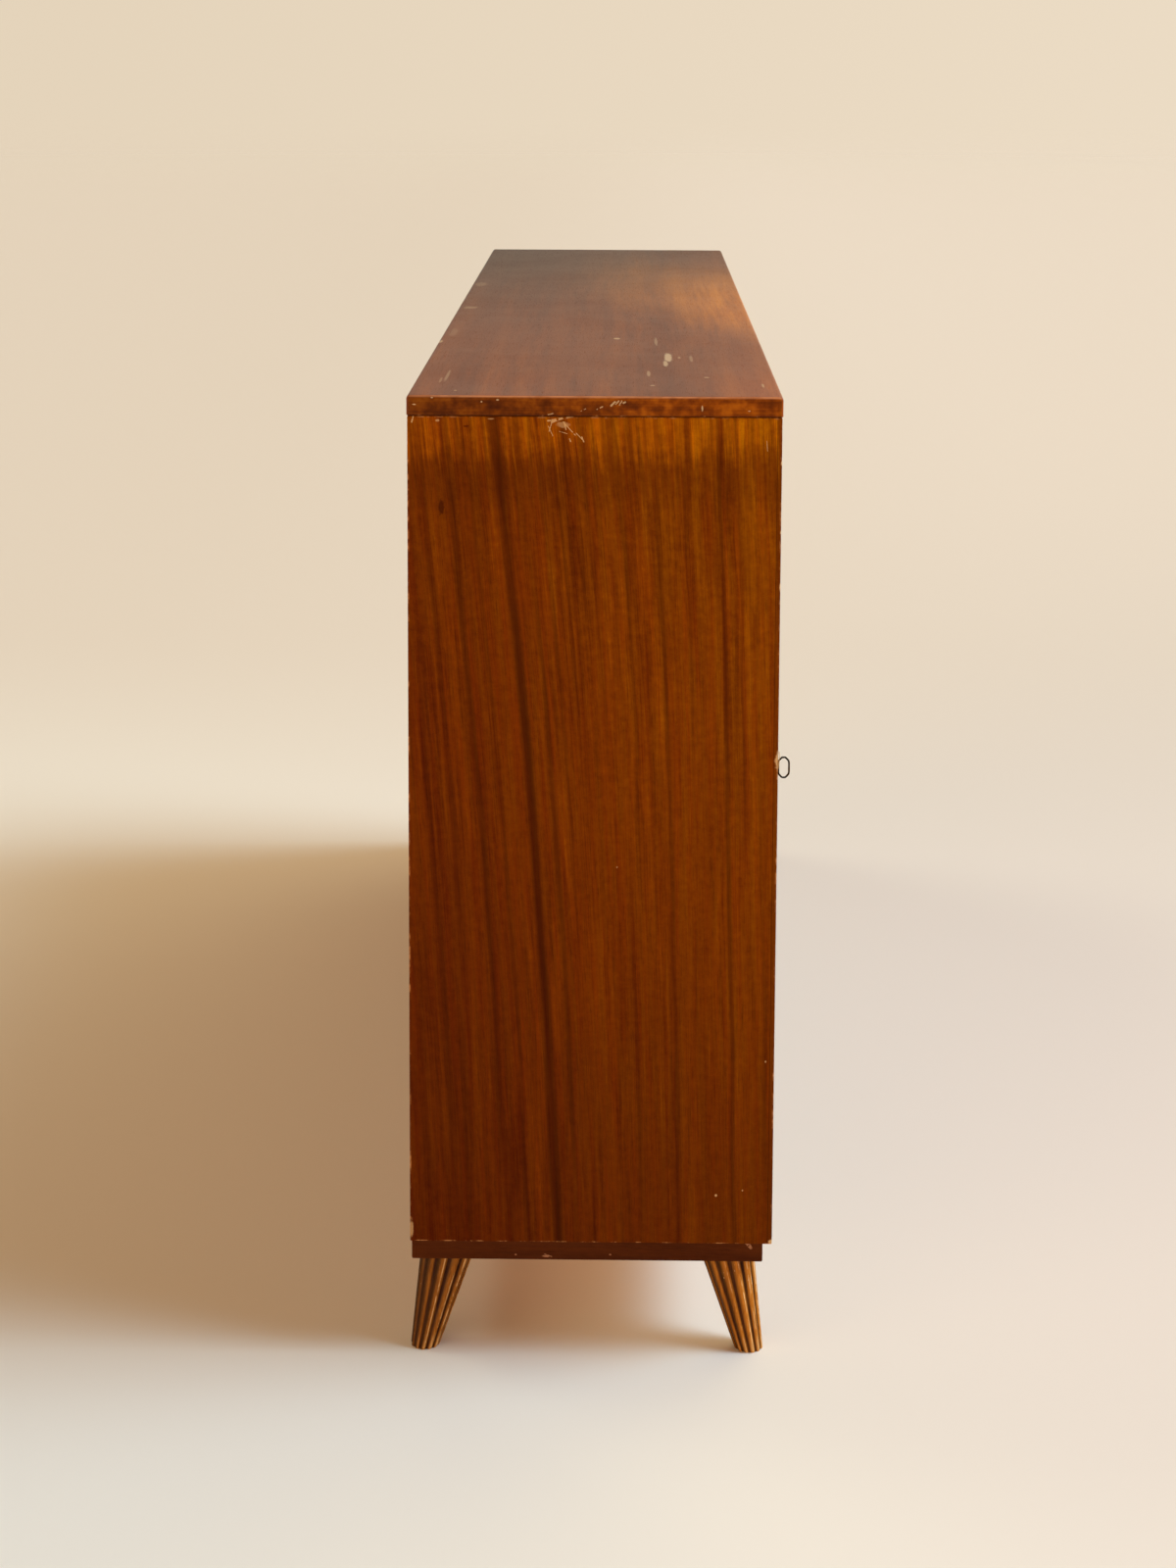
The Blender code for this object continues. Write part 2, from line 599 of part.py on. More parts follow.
def make_lock(label, side, door, parent):
    """A box lock behind the outer door, with its bolt, key and escutcheon."""
    x = side * KEY_FROM_MIDDLE

    def across(distance):
        """The x of a point this far from the key towards the free edge."""
        return x - side * distance

    base = DOOR_BACK + FIT
    back = base + LOCK_DEPTH
    low, high = KEY_HEIGHT - LOCK_BELOW_KEY, KEY_HEIGHT + LOCK_ABOVE_KEY
    tail_reach, head_reach = LOCK_REACH
    case = board(
        "lock_case_" + label,
        (across(-tail_reach), base, low),
        (across(head_reach), back, high),
        BRASS,
        origin=parent.location,
        parent=parent,
    )
    bm = bmesh.new()
    add_box(
        bm,
        (across(LOCK_WALL - tail_reach), base - CUT_PAST, low + LOCK_WALL),
        (across(head_reach - LOCK_WALL), back - LOCK_WALL, high - LOCK_WALL),
    )
    boolean(case, helper("cut_lock_cavity_" + label, bm))

    bolt_front, bolt_back = (DOOR_BACK + depth for depth in BOLT_SPAN)
    bolt_low = KEY_HEIGHT + BOLT_BOTTOM
    tail_low = KEY_HEIGHT + BOLT_TAIL_BOTTOM
    bolt_high = KEY_HEIGHT + BOLT_TOP
    bm = bmesh.new()
    add_box(
        bm,
        (across(head_reach - 2 * LOCK_WALL), bolt_front - BOLT_ROOM, bolt_low - BOLT_ROOM),
        (across(head_reach + LOCK_WALL), bolt_back + BOLT_ROOM, bolt_high + BOLT_ROOM),
    )
    boolean(case, helper("cut_bolt_window_" + label, bm))
    bm = bmesh.new()
    pin = circle((x, KEY_HEIGHT), LOCK_PIN_RADIUS, 10)
    add_prism(bm, pin, "Y", DOOR_BACK + LOCK_WALL, back - LOCK_WALL / 2)
    boolean(case, helper("join_lock_pin_" + label, bm), "UNION")

    tip = head_reach - BOLT_TIP_SETBACK
    half_notch, notch_depth = BOLT_NOTCH
    notch = (-BOLT_TRAVEL - half_notch, -BOLT_TRAVEL + half_notch)
    outline = [
        (tip, bolt_low),
        (tip, bolt_high),
        (-BOLT_TAIL, bolt_high),
        (-BOLT_TAIL, tail_low),
        (notch[0], tail_low),
        (notch[0], tail_low + notch_depth),
        (notch[1], tail_low + notch_depth),
        (notch[1], tail_low),
        (BOLT_HEAD_START, tail_low),
        (BOLT_HEAD_START, bolt_low),
    ]
    bm = bmesh.new()
    add_prism(bm, [(across(u), z) for u, z in outline], "Y", bolt_front, bolt_back)
    piece("lock_bolt_" + label, bm, BRASS, (x, DOOR_BACK, KEY_HEIGHT), parent)

    bm = bmesh.new()
    centre = (x, KEY_HEIGHT - ESCUTCHEON_DROP)
    half_x, half_z = ESCUTCHEON_HALF
    oval = [(centre[0] + half_x * a, centre[1] + half_z * b) for a, b in circle((0, 0), 1.0, 24)]
    add_prism(bm, oval, "Y", FRONT - FIT, FRONT - FIT - ESCUTCHEON_THICKNESS)
    plate = piece("escutcheon_" + label, bm, BRASS, parent.location, parent)

    bm = bmesh.new()
    add_prism(bm, keyhole_outline(x), "Y", FRONT - CUT_PAST, DOOR_BACK + CUT_PAST)
    keyhole = helper("cut_keyhole_" + label, bm)
    boolean(door, keyhole)
    boolean(plate, keyhole)
    make_key(label, x, parent)


def make_strike(label, side, parent):
    """The staple behind the inner door that the lock's bolt slides into."""
    start = side * (INNER_DOOR[1] - PANEL_ARRIS)
    middle = KEY_HEIGHT + (BOLT_BOTTOM + BOLT_TOP) / 2
    section = channel_outline(STRIKE_HALF_INSIDE, STRIKE_RISE, PLATE_THICKNESS, STRIKE_HALF_FOOT)
    bm = bmesh.new()
    outline = [(DOOR_BACK + FIT + up, middle + across) for across, up in section]
    add_prism(bm, outline, "X", start, start - side * STRIKE_LENGTH)
    piece("lock_strike_" + label, bm, BRASS, parent.location, parent)


def make_slide_bolt(label, side, end, upward, panel, parent):
    """A flat bolt in a slotted guide behind the inner door, and its mortise in the panel."""
    name = label + "_" + end
    x = side * SLIDE_FROM_MIDDLE
    edge = DOOR_HIGH if upward > 0 else DOOR_LOW
    base = DOOR_BACK + FIT
    half_bar = SLIDE_BAR[0] / 2
    bar_front, bar_back = base + FIT, base + FIT + SLIDE_BAR[1]
    guide_near, guide_length = SLIDE_GUIDE

    def back_from_edge(distance):
        return edge - upward * distance

    rise = SLIDE_BAR[1] + 2 * FIT
    section = channel_outline(half_bar + FIT, rise, PLATE_THICKNESS, SLIDE_GUIDE_HALF_FOOT)
    bm = bmesh.new()
    outline = [(x + across, base + up) for across, up in section]
    start = back_from_edge(guide_near)
    add_prism(bm, outline, "Z", start, start - upward * guide_length)
    guide = piece("slide_bolt_guide_" + name, bm, BRASS, parent.location, parent)
    knob_z = back_from_edge(KNOB_FROM_END)
    room = KNOB_NECK_RADIUS + FIT
    bm = bmesh.new()
    add_box(
        bm,
        (x - room, bar_back, knob_z - upward * room),
        (x + room, bar_back + CUT_PAST, knob_z + upward * (SLIDE_TRAVEL + room)),
    )
    boolean(guide, helper("cut_knob_slot_" + name, bm))

    bm = bmesh.new()
    tip = back_from_edge(SLIDE_TIP_SETBACK)
    low = tip - upward * SLIDE_BAR_LENGTH
    add_box(bm, (x - half_bar, bar_front, low), (x + half_bar, bar_back, tip))
    bolt = piece("slide_bolt_" + name, bm, BRASS, (x, bar_front, edge), parent)
    bm = bmesh.new()
    domed = KNOB_RADIUS * 0.75
    radii = (KNOB_NECK_RADIUS, KNOB_NECK_RADIUS, KNOB_RADIUS, KNOB_RADIUS, domed)
    rings = [
        [(a, bar_back + out, b) for a, b in circle((x, knob_z), radius, 12)]
        for out, radius in zip(KNOB_STEPS, radii)
    ]
    add_loft(bm, rings)
    boolean(bolt, helper("join_knob_" + name, bm), "UNION")

    panel_z = CASE_TOP if upward > 0 else FLOOR_TOP
    half_mortise = half_bar + SLIDE_MORTISE_ROOM
    bm = bmesh.new()
    add_box(
        bm,
        (x - half_mortise, bar_front - SLIDE_MORTISE_ROOM, panel_z - upward * CUT_PAST),
        (x + half_mortise, bar_back + SLIDE_MORTISE_ROOM, panel_z + upward * SLIDE_MORTISE_DEPTH),
    )
    boolean(panel, helper("cut_bolt_mortise_" + name, bm))


def make_doors(top, bottom):
    for label, side in SIDES:
        outer, outer_axis = hang_door("outer_" + label, side, OUTER_DOOR, -1, top, bottom)
        _, inner_axis = hang_door("inner_" + label, side, INNER_DOOR, 1, top, bottom)
        make_lock(label, side, outer, outer_axis)
        make_strike(label, side, inner_axis)
        for end, panel, upward in (("top", top, 1), ("bottom", bottom, -1)):
            make_slide_bolt(label, side, end, upward, panel, inner_axis)


def main():
    clear_scene()
    top, bottom = make_case()
    make_plinth()
    for end, side in SIDES:
        for depth_label, out in (("front", -1), ("back", 1)):
            make_leg(end, side, depth_label, out)
    make_doors(top, bottom)


main()
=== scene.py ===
"""The looks of a long sideboard on fluted legs: its woods and brass, its small fittings, and
the studio that it stands in.

Units are metres, in the frame that the model comes in: +X runs along the length, -Y is the
front, +Z is up, and the floor is at z = 0. Colours are written as they look on a screen.
"""

import math
import random

import bmesh
import bpy
from mathutils import Matrix, Vector


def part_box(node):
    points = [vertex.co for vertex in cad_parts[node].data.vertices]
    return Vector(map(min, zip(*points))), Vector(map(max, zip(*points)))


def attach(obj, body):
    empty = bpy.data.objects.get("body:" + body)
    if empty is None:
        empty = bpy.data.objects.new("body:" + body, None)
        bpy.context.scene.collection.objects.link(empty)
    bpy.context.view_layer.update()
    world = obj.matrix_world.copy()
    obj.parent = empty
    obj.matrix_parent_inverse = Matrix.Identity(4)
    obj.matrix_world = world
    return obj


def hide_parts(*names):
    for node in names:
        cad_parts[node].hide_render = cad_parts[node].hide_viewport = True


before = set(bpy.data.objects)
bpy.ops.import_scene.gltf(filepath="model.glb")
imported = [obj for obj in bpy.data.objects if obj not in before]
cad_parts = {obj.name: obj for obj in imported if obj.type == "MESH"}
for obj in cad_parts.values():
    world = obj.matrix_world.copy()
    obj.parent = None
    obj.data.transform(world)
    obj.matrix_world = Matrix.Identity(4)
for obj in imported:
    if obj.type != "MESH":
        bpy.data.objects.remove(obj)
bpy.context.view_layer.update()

# Camera: it looks along +X at the left end, a little down
CAMERA_PLACE = (-3.997, -0.0105, 1.466)
CAMERA_LENS = 65.25
CAMERA_SHIFT = -0.25
CAMERA_PITCH = math.radians(7.33)
CAMERA_YAW = math.radians(0.73)
CAMERA_ROLL = math.radians(0.25)

# Studio
FLOOR_RADIUS = 60.0
FLOOR_FADE = (12.0, 40.0)
FLOOR_NEAR = (-0.8, 2.9)
FLOOR_COLOURS = {
    "near_left": (246, 240, 219),
    "near_right": (246, 231, 213),
    "far_left": (228, 211, 186),
    "far_right": (236, 220, 197),
}
# Each lobe of light: its azimuth, counted from the front towards the right, how far it reaches
# to both sides, its height as the sine of its elevation, how far it reaches up and down, and colour
LIGHT_LOBES = (
    (-1.5, 30.8, 0.672, 0.243, (13.0, 18.7, 24.9)),
    (51.0, 70.0, 0.299, 0.178, (11.8, 10.8, 7.6)),
    (-126.2, 57.8, 0.201, 0.186, (9.8, 7.9, 5.6)),
    (152.4, 27.1, 0.743, 0.120, (5.9, 6.3, 5.6)),
)
FILL_COLOUR = (0.20, 0.07, 0.01)

SIDES = (("left", -1), ("right", 1))
DEPTHS = (("front", -1), ("back", 1))


def linear(colour):
    """A screen colour, 0 to 255, as the light that it stands for."""
    def one(value):
        share = value / 255
        return share / 12.92 if share <= 0.04045 else ((share + 0.055) / 1.055) ** 2.4
    return tuple(one(value) for value in colour)


class Recipe:
    """A short way to write a node tree. Values, colours and other nodes' sockets go in alike."""

    def __init__(self, tree):
        self.tree = tree
        self.tree.nodes.clear()

    def node(self, kind, inputs=(), **settings):
        node = self.tree.nodes.new("ShaderNode" + kind)
        for name, value in settings.items():
            setattr(node, name, value)
        for key, value in dict(inputs).items():
            self.give(node.inputs[key], value)
        return node

    def give(self, socket, value):
        if isinstance(value, bpy.types.NodeSocket):
            self.tree.links.new(value, socket)
        elif socket.type == "RGBA" and len(value) == 3:
            socket.default_value = (*value, 1.0)
        else:
            socket.default_value = value

    def math(self, operation, a, b=0.0):
        return self.node("Math", {0: a, 1: b}, operation=operation).outputs[0]

    def chain(self, operation, values):
        result = values[0]
        for value in values[1:]:
            result = self.math(operation, result, value)
        return result

    def total(self, *values):
        return self.chain("ADD", values)

    def minus(self, a, b):
        return self.math("SUBTRACT", a, b)

    def product(self, *values):
        return self.chain("MULTIPLY", values)

    def most(self, *values):
        return self.chain("MAXIMUM", values)

    def band(self, value, low, high, start=0.0, end=1.0):
        """A soft step from start at low to end at high."""
        inputs = {"Value": value, "From Min": low, "From Max": high, "To Min": start, "To Max": end}
        return self.node("MapRange", inputs, interpolation_type="SMOOTHSTEP").outputs[0]

    def window(self, value, steps):
        """0, then 1 between the second and the third step, then 0 again."""
        rise = self.band(value, steps[0], steps[1])
        return self.product(rise, self.band(value, steps[2], steps[3], 1.0, 0.0))

    def mix(self, share, a, b, blend="MIX"):
        inputs = {0: share, 6: a, 7: b}
        return self.node("Mix", inputs, data_type="RGBA", blend_type=blend).outputs[2]

    def tinted(self, colour, tone, *shares):
        """A colour drawn towards a screen colour, by the product of the shares."""
        return self.mix(self.product(*shares), colour, linear(tone))

    def times(self, colour, gains):
        """A colour with its red, green and blue multiplied."""
        return self.mix(1.0, colour, gains, "MULTIPLY")

    def vector(self, operation, a, b):
        return self.node("VectorMath", {0: a, 1: b}, operation=operation).outputs[0]

    def scaled(self, vector, share):
        return self.node("VectorMath", {0: vector, "Scale": share}, operation="SCALE").outputs[0]

    def length(self, vector):
        return self.node("VectorMath", {0: vector}, operation="LENGTH").outputs["Value"]

    def dot(self, a, b):
        return self.node("VectorMath", {0: a, 1: b}, operation="DOT_PRODUCT").outputs["Value"]

    def noise(self, place, scale, detail=2.0, roughness=0.5):
        """Noise, 0 to 1, of a place stretched by scale: one number, or one for each axis."""
        if isinstance(scale, float):
            scale = (scale,) * 3
        inputs = {
            "Vector": self.vector("MULTIPLY", place, scale),
            "Scale": 1.0,
            "Detail": detail,
            "Roughness": roughness,
        }
        return self.node("TexNoise", inputs).outputs[0]

    def split(self, place):
        return self.node("SeparateXYZ", {0: place}).outputs[:3]

    def join(self, x, y, z):
        return self.node("CombineXYZ", {0: x, 1: y, 2: z}).outputs[0]

    def place(self):
        return self.node("TexCoord").outputs["Object"]

    def ramp(self, share, colours):
        node = self.node("ValToRGB", {0: share})
        stops = node.color_ramp.elements
        while len(stops) < len(colours):
            stops.new(0.5)
        for i, colour in enumerate(colours):
            stops[i].position = i / (len(colours) - 1)
            stops[i].color = (*linear(colour), 1.0)
        return node.outputs[0]


class Finish(Recipe):
    """A material: a node tree that ends in one Principled shader."""

    def __init__(self, name):
        self.material = bpy.data.materials.new(name)
        self.material.use_nodes = True
        super().__init__(self.material.node_tree)

    def surface(self, colour, roughness, bump=None, bump_size=0.0005, **constants):
        inputs = {"Base Color": colour, "Roughness": roughness, **constants}
        if bump is not None:
            height = {"Height": bump, "Strength": 1.0, "Distance": bump_size}
            inputs["Normal"] = self.node("Bump", height).outputs[0]
        shader = self.node("BsdfPrincipled", inputs)
        output = self.node("OutputMaterial", {"Surface": shader.outputs[0]})
        output.is_active_output = True
        return self.material


# Woods

PANEL_TONES = ((66, 21, 0), (102, 40, 0), (132, 61, 0), (166, 88, 2))
PLINTH_TONES = ((44, 15, 1), (64, 25, 3), (84, 37, 7), (106, 52, 12))
RAW_TONES = ((150, 74, 26), (176, 94, 36), (196, 112, 48), (212, 134, 66))
SLIVER_TONES = ((168, 132, 84), (190, 152, 102), (206, 170, 118), (220, 186, 138))
PLY_DUST = (158, 138, 112)
PLY_TONES = ((96, 58, 30), (124, 80, 44), (146, 98, 58), (168, 118, 74))
BLOCK_TONES = ((140, 100, 60), (168, 126, 80), (188, 146, 98), (204, 166, 118))
LEG_TONES = ((100, 50, 6), (146, 82, 18), (186, 112, 34), (224, 148, 62))
LEG_GROOVE = (44, 12, 0)
LEG_GROOVE_BEHIND = (58, 32, 8)
LEG_RIM_WEAR_AND_HIGHLIGHT = (242, 190, 126)
LEG_FOOT_WORN = (206, 152, 88)
LEG_NICK = (232, 190, 140)
BARE_WOOD = (182, 122, 72)
PALE_MARK = (214, 176, 132)
AXES = {"X": 0, "Y": 1, "Z": 2}


def grain_scale(along, across, lengthwise):
    """Noise scales for grain that runs along one axis."""
    scale = [across] * 3
    scale[AXES[along]] = lengthwise
    return tuple(scale)


def marks_of(finish, place, marks):
    """Small marks with ragged outlines. Each is (its middle, its reach on each axis, strength)."""
    rag = finish.noise(place, 230.0, 4.0, 0.7)
    rag = finish.total(0.25, finish.product(rag, 1.5))
    found = []
    for middle, reach, strength in marks:
        away = finish.vector("SUBTRACT", place, middle)
        length = finish.length(finish.vector("DIVIDE", away, reach))
        found.append(finish.band(finish.product(length, rag), 0.55, 1.0, strength, 0.0))
    return finish.most(*found)


def scratches_of(finish, a, b, lines):
    """1 on thin ragged lines in a plane. Each is (its start, its end, its half width)."""
    place = finish.join(a, b, 0.0)
    rag = finish.noise(place, 900.0, 3.0, 0.7)
    gaps = finish.band(finish.noise(place, 260.0, 2.0), 0.36, 0.46)
    found = []
    for start, end, half_width in lines:
        run = Vector(end) - Vector(start)
        from_start = finish.vector("SUBTRACT", place, (*start, 0.0))
        share = finish.dot(from_start, (*(run / run.length_squared), 0.0))
        share = finish.math("MINIMUM", finish.math("MAXIMUM", share, 0.0), 1.0)
        along = finish.scaled((*run, 0.0), share)
        length = finish.length(finish.vector("SUBTRACT", from_start, along))
        edge = finish.product(finish.total(rag, 0.1), half_width * 2.0)
        found.append(finish.math("LESS_THAN", length, edge))
    return finish.product(finish.most(*found), gaps)


def edge_wear(finish, place, box, width, patchiness):
    """1 on the edges of a box, in patches, and 0 on its faces."""
    low, high = box
    middle = (low + high) / 2
    half = (high - low) / 2
    noise = finish.noise(place, 70.0, 5.0, 0.7)
    near = []
    for value, centre, reach in zip(finish.split(place), middle, half):
        from_middle = finish.math("ABSOLUTE", finish.minus(value, centre))
        near.append(finish.band(finish.minus(reach, from_middle), 0.0, width, 1.0, 0.0))
    pairs = [finish.product(near[i], near[j]) for i, j in ((0, 1), (1, 2), (0, 2))]
    edge = finish.most(*pairs)
    return finish.product(finish.band(edge, 0.25, 0.6), finish.band(noise, *patchiness))


class Wood(Finish):
    """Veneer or solid wood: ribbons, lines, fibres and pores that run along one axis."""

    def __init__(self, name, along, box, seed=0.0, tones=PANEL_TONES):
        super().__init__(name)
        self.along = along
        self.box = box
        self.tones = tones
        self.where = self.place()
        self.moved = self.vector("ADD", self.where, (seed * 3.1, seed * 1.7, seed * 2.3))

    def grain(self, place=None, ribbons=1.5, lines=0.75, fibres=0.35, mottle=0.2, middle=0.48,
              sway=0.035):
        """The wood's colour before wear. It also keeps the fibres and the pores for the bump."""
        if place is None:
            place = self.moved
        along = self.along
        bend = self.noise(place, grain_scale(along, 2.0, 1.4), 2.0)
        bend = self.product(self.total(bend, -0.5), sway)
        swayed = self.vector("ADD", place, self.join(bend, bend, bend))
        wide = self.noise(swayed, grain_scale(along, 34.0, 1.0), 3.0, 0.55)
        narrow = self.noise(swayed, grain_scale(along, 140.0, 6.0), 3.0, 0.6)
        clouds = self.noise(place, grain_scale(along, 90.0, 110.0), 4.0, 0.75)
        lively = self.band(self.noise(place, grain_scale(along, 15.0, 2.6), 2.0), 0.34, 0.66, 0.4, 1.4)
        self.fibres = self.noise(swayed, grain_scale(along, 800.0, 14.0), 2.0, 0.6)
        pores = self.noise(swayed, grain_scale(along, 1300.0, 42.0), 1.0)
        self.pores = self.band(pores, 0.60, 0.74)
        self.tone = self.total(
            self.product(self.total(wide, -0.5), ribbons),
            self.product(self.total(narrow, -0.5), lines, lively),
            self.product(self.total(self.fibres, -0.5), fibres),
            self.product(self.total(clouds, -0.5), mottle),
            middle,
        )
        return self.tone

    def coloured(self, pore_depth=0.4):
        colour = self.ramp(self.tone, self.tones)
        return self.tinted(colour, self.tones[0], self.pores, pore_depth)

    def finished(self, colour, roughness=0.42, gloss=0.12, wear=0.75, wear_width=0.0028,
                 patches=(0.50, 0.66), bare=BARE_WOOD, marks=(), mark_colour=PALE_MARK,
                 scratched=None):
        place = self.where
        worn = self.product(edge_wear(self, place, self.box, wear_width, patches), wear)
        colour = self.tinted(colour, bare, worn)
        height = self.total(
            self.product(self.fibres, 0.3), self.product(self.pores, -0.5), self.product(worn, -0.8)
        )
        if marks:
            struck = marks_of(self, place, marks)
            colour = self.tinted(colour, mark_colour, struck)
            height = self.total(height, self.product(struck, -0.8))
        if scratched is not None:
            colour = self.tinted(colour, mark_colour, scratched, 0.75)
            height = self.total(height, self.product(scratched, -0.8))
        scuffs = self.noise(place, 9.0, 4.0, 0.6)
        rough = self.total(
            roughness - 0.06, self.product(scuffs, 0.12), self.product(self.pores, 0.1)
        )
        rough = self.total(rough, self.product(worn, 0.2))
        return self.surface(colour, rough, height, 0.00022, **{"Specular IOR Level": gloss})


def plain_veneer(name, along, box, seed, tones=PANEL_TONES, bare_below=False, **finish):
    """Veneer without marks. With bare_below, its lowest face is left raw."""
    wood = Wood(name, along, box, seed, tones)
    wood.grain()
    colour = wood.coloured()
    if bare_below:
        z = wood.split(wood.where)[2]
        lowest = float(box[0].z)
        below = wood.band(z, lowest + 0.0003, lowest + 0.0006, 1.0, 0.0)
        raw = wood.ramp(wood.tone, RAW_TONES)
        colour = wood.mix(below, colour, raw)
    return wood.finished(colour, **finish)


# The left end panel, the face that the picture is about. Each dark streak is given by the y
# of its middle at mid height, half its width, its strength and the heights between which it runs.
PANEL_STREAKS = (
    (0.0845, 0.0085, 1.00, (-1.0, 0.0, 2.0, 3.0)),
    (0.0600, 0.0046, 0.60, (0.15, 0.30, 0.80, 0.95)),
    (0.1410, 0.0054, 0.75, (0.20, 0.40, 0.95, 1.05)),
    (0.1180, 0.0040, 0.45, (0.05, 0.20, 1.10, 1.20)),
    (0.1710, 0.0060, 0.50, (0.30, 0.50, 0.90, 1.10)),
    (0.1950, 0.0050, 0.45, (0.05, 0.30, 0.60, 0.85)),
    (0.0430, 0.0036, 0.40, (0.40, 0.50, 1.10, 1.20)),
    (0.0270, 0.0030, 0.45, (0.62, 0.75, 1.10, 1.20)),
    (0.0200, 0.0050, 0.30, (0.50, 0.65, 0.85, 1.00)),
    (-0.0010, 0.0038, 0.45, (0.62, 0.80, 1.10, 1.20)),
    (-0.0190, 0.0035, 0.40, (0.10, 0.20, 0.45, 0.60)),
    (-0.0310, 0.0034, 0.40, (0.55, 0.70, 1.00, 1.15)),
    (-0.0630, 0.0042, 0.60, (0.00, 0.10, 0.85, 1.00)),
    (-0.0900, 0.0032, 0.35, (0.55, 0.70, 1.10, 1.20)),
    (-0.1260, 0.0042, 0.65, (-1.0, 0.0, 2.0, 3.0)),
    (-0.1450, 0.0030, 0.40, (0.50, 0.65, 1.10, 1.20)),
    (-0.1620, 0.0034, 0.35, (0.10, 0.25, 0.60, 0.80)),
)
# Chips and nicks: (the middle, the reach on each axis, the strength)
PANEL_MARKS = (
    ((-1.0, -0.1173, 0.188), (0.01, 0.0018, 0.0018), 0.75),
    ((-1.0, -0.1464, 0.194), (0.01, 0.0010, 0.0013), 0.6),
    ((-1.0, -0.1700, 0.342), (0.01, 0.0010, 0.0014), 0.6),
    ((-1.0, 0.2190, 0.147), (0.005, 0.0028, 0.0120), 0.5),
    ((-1.0, -0.1790, 0.135), (0.005, 0.0038, 0.0034), 0.8),
    ((-1.0, -0.1806, 0.6800), (0.0045, 0.0056, 0.0120), 0.9),
    ((-1.0, -0.1798, 0.871), (0.0030, 0.0019, 0.0060), 0.8),
    ((-1.0, -0.1798, 0.930), (0.0026, 0.0017, 0.0030), 0.8),
    ((-1.0, -0.1798, 1.005), (0.0028, 0.0019, 0.0040), 0.8),
    ((-1.0, -0.0060, 0.560), (0.01, 0.0010, 0.0012), 0.35),
    ((-1.0, 0.1880, 1.0490), (0.01, 0.0030, 0.0016), 0.5),
    ((-1.0, 0.1310, 1.0510), (0.01, 0.0040, 0.0010), 0.45),
    ((-1.0, 0.0540, 1.0450), (0.01, 0.0080, 0.0040), 0.40),
)
# Scratches, in y and z: (the start, the end, half the width)
PANEL_SCRATCHES = (
    ((0.0702, 1.0493), (0.0440, 1.0540), 0.0008),
    ((0.0660, 1.0480), (0.0560, 1.0520), 0.0010),
    ((0.0663, 1.0470), (0.0690, 1.0380), 0.0004),
    ((0.0540, 1.0480), (0.0410, 1.0340), 0.0004),
    ((0.0530, 1.0480), (0.0510, 1.0400), 0.0005),
    ((0.0400, 1.0360), (0.0325, 1.0285), 0.0004),
    ((0.0340, 1.0320), (0.0320, 1.0270), 0.0005),
    ((0.0470, 1.0300), (0.0455, 1.0260), 0.0005),
    ((0.0700, 1.0440), (0.0650, 1.0330), 0.0003),
    ((0.0580, 1.0380), (0.0480, 1.0350), 0.0003),
    ((0.2140, 1.0530), (0.2155, 1.0470), 0.0006),
    ((-0.1630, 1.0290), (-0.1640, 1.0180), 0.0003),
)
KNOTS = (
    ((-1.0, 0.1840, 0.955), (0.01, 0.0040, 0.0095), 0.75),
    ((-1.0, 0.1575, 1.0430), (0.01, 0.0038, 0.0015), 0.7),
)
STREAK_COLOUR = (66, 22, 0)
KNOT_COLOUR = (62, 14, 0)
PANEL_SHADE = (62, 24, 0)
PANEL_MARK = (212, 168, 116)
LIPPING_COLOUR = (88, 38, 2)
JOINT_COLOUR = (50, 18, 0)
# How much red, green and blue the painted band of light under the top gains, at its most and at its
# least
PAINTED_LIGHT_BAND_GAINS = ((1.95, 2.45, 1.2), (1.25, 1.42, 1.0))
PANEL_MIDDLE = 0.6
# The grain leans to the back with height: by this share, and by this one of the square
GRAIN_LEAN = (0.0778, 0.0346)


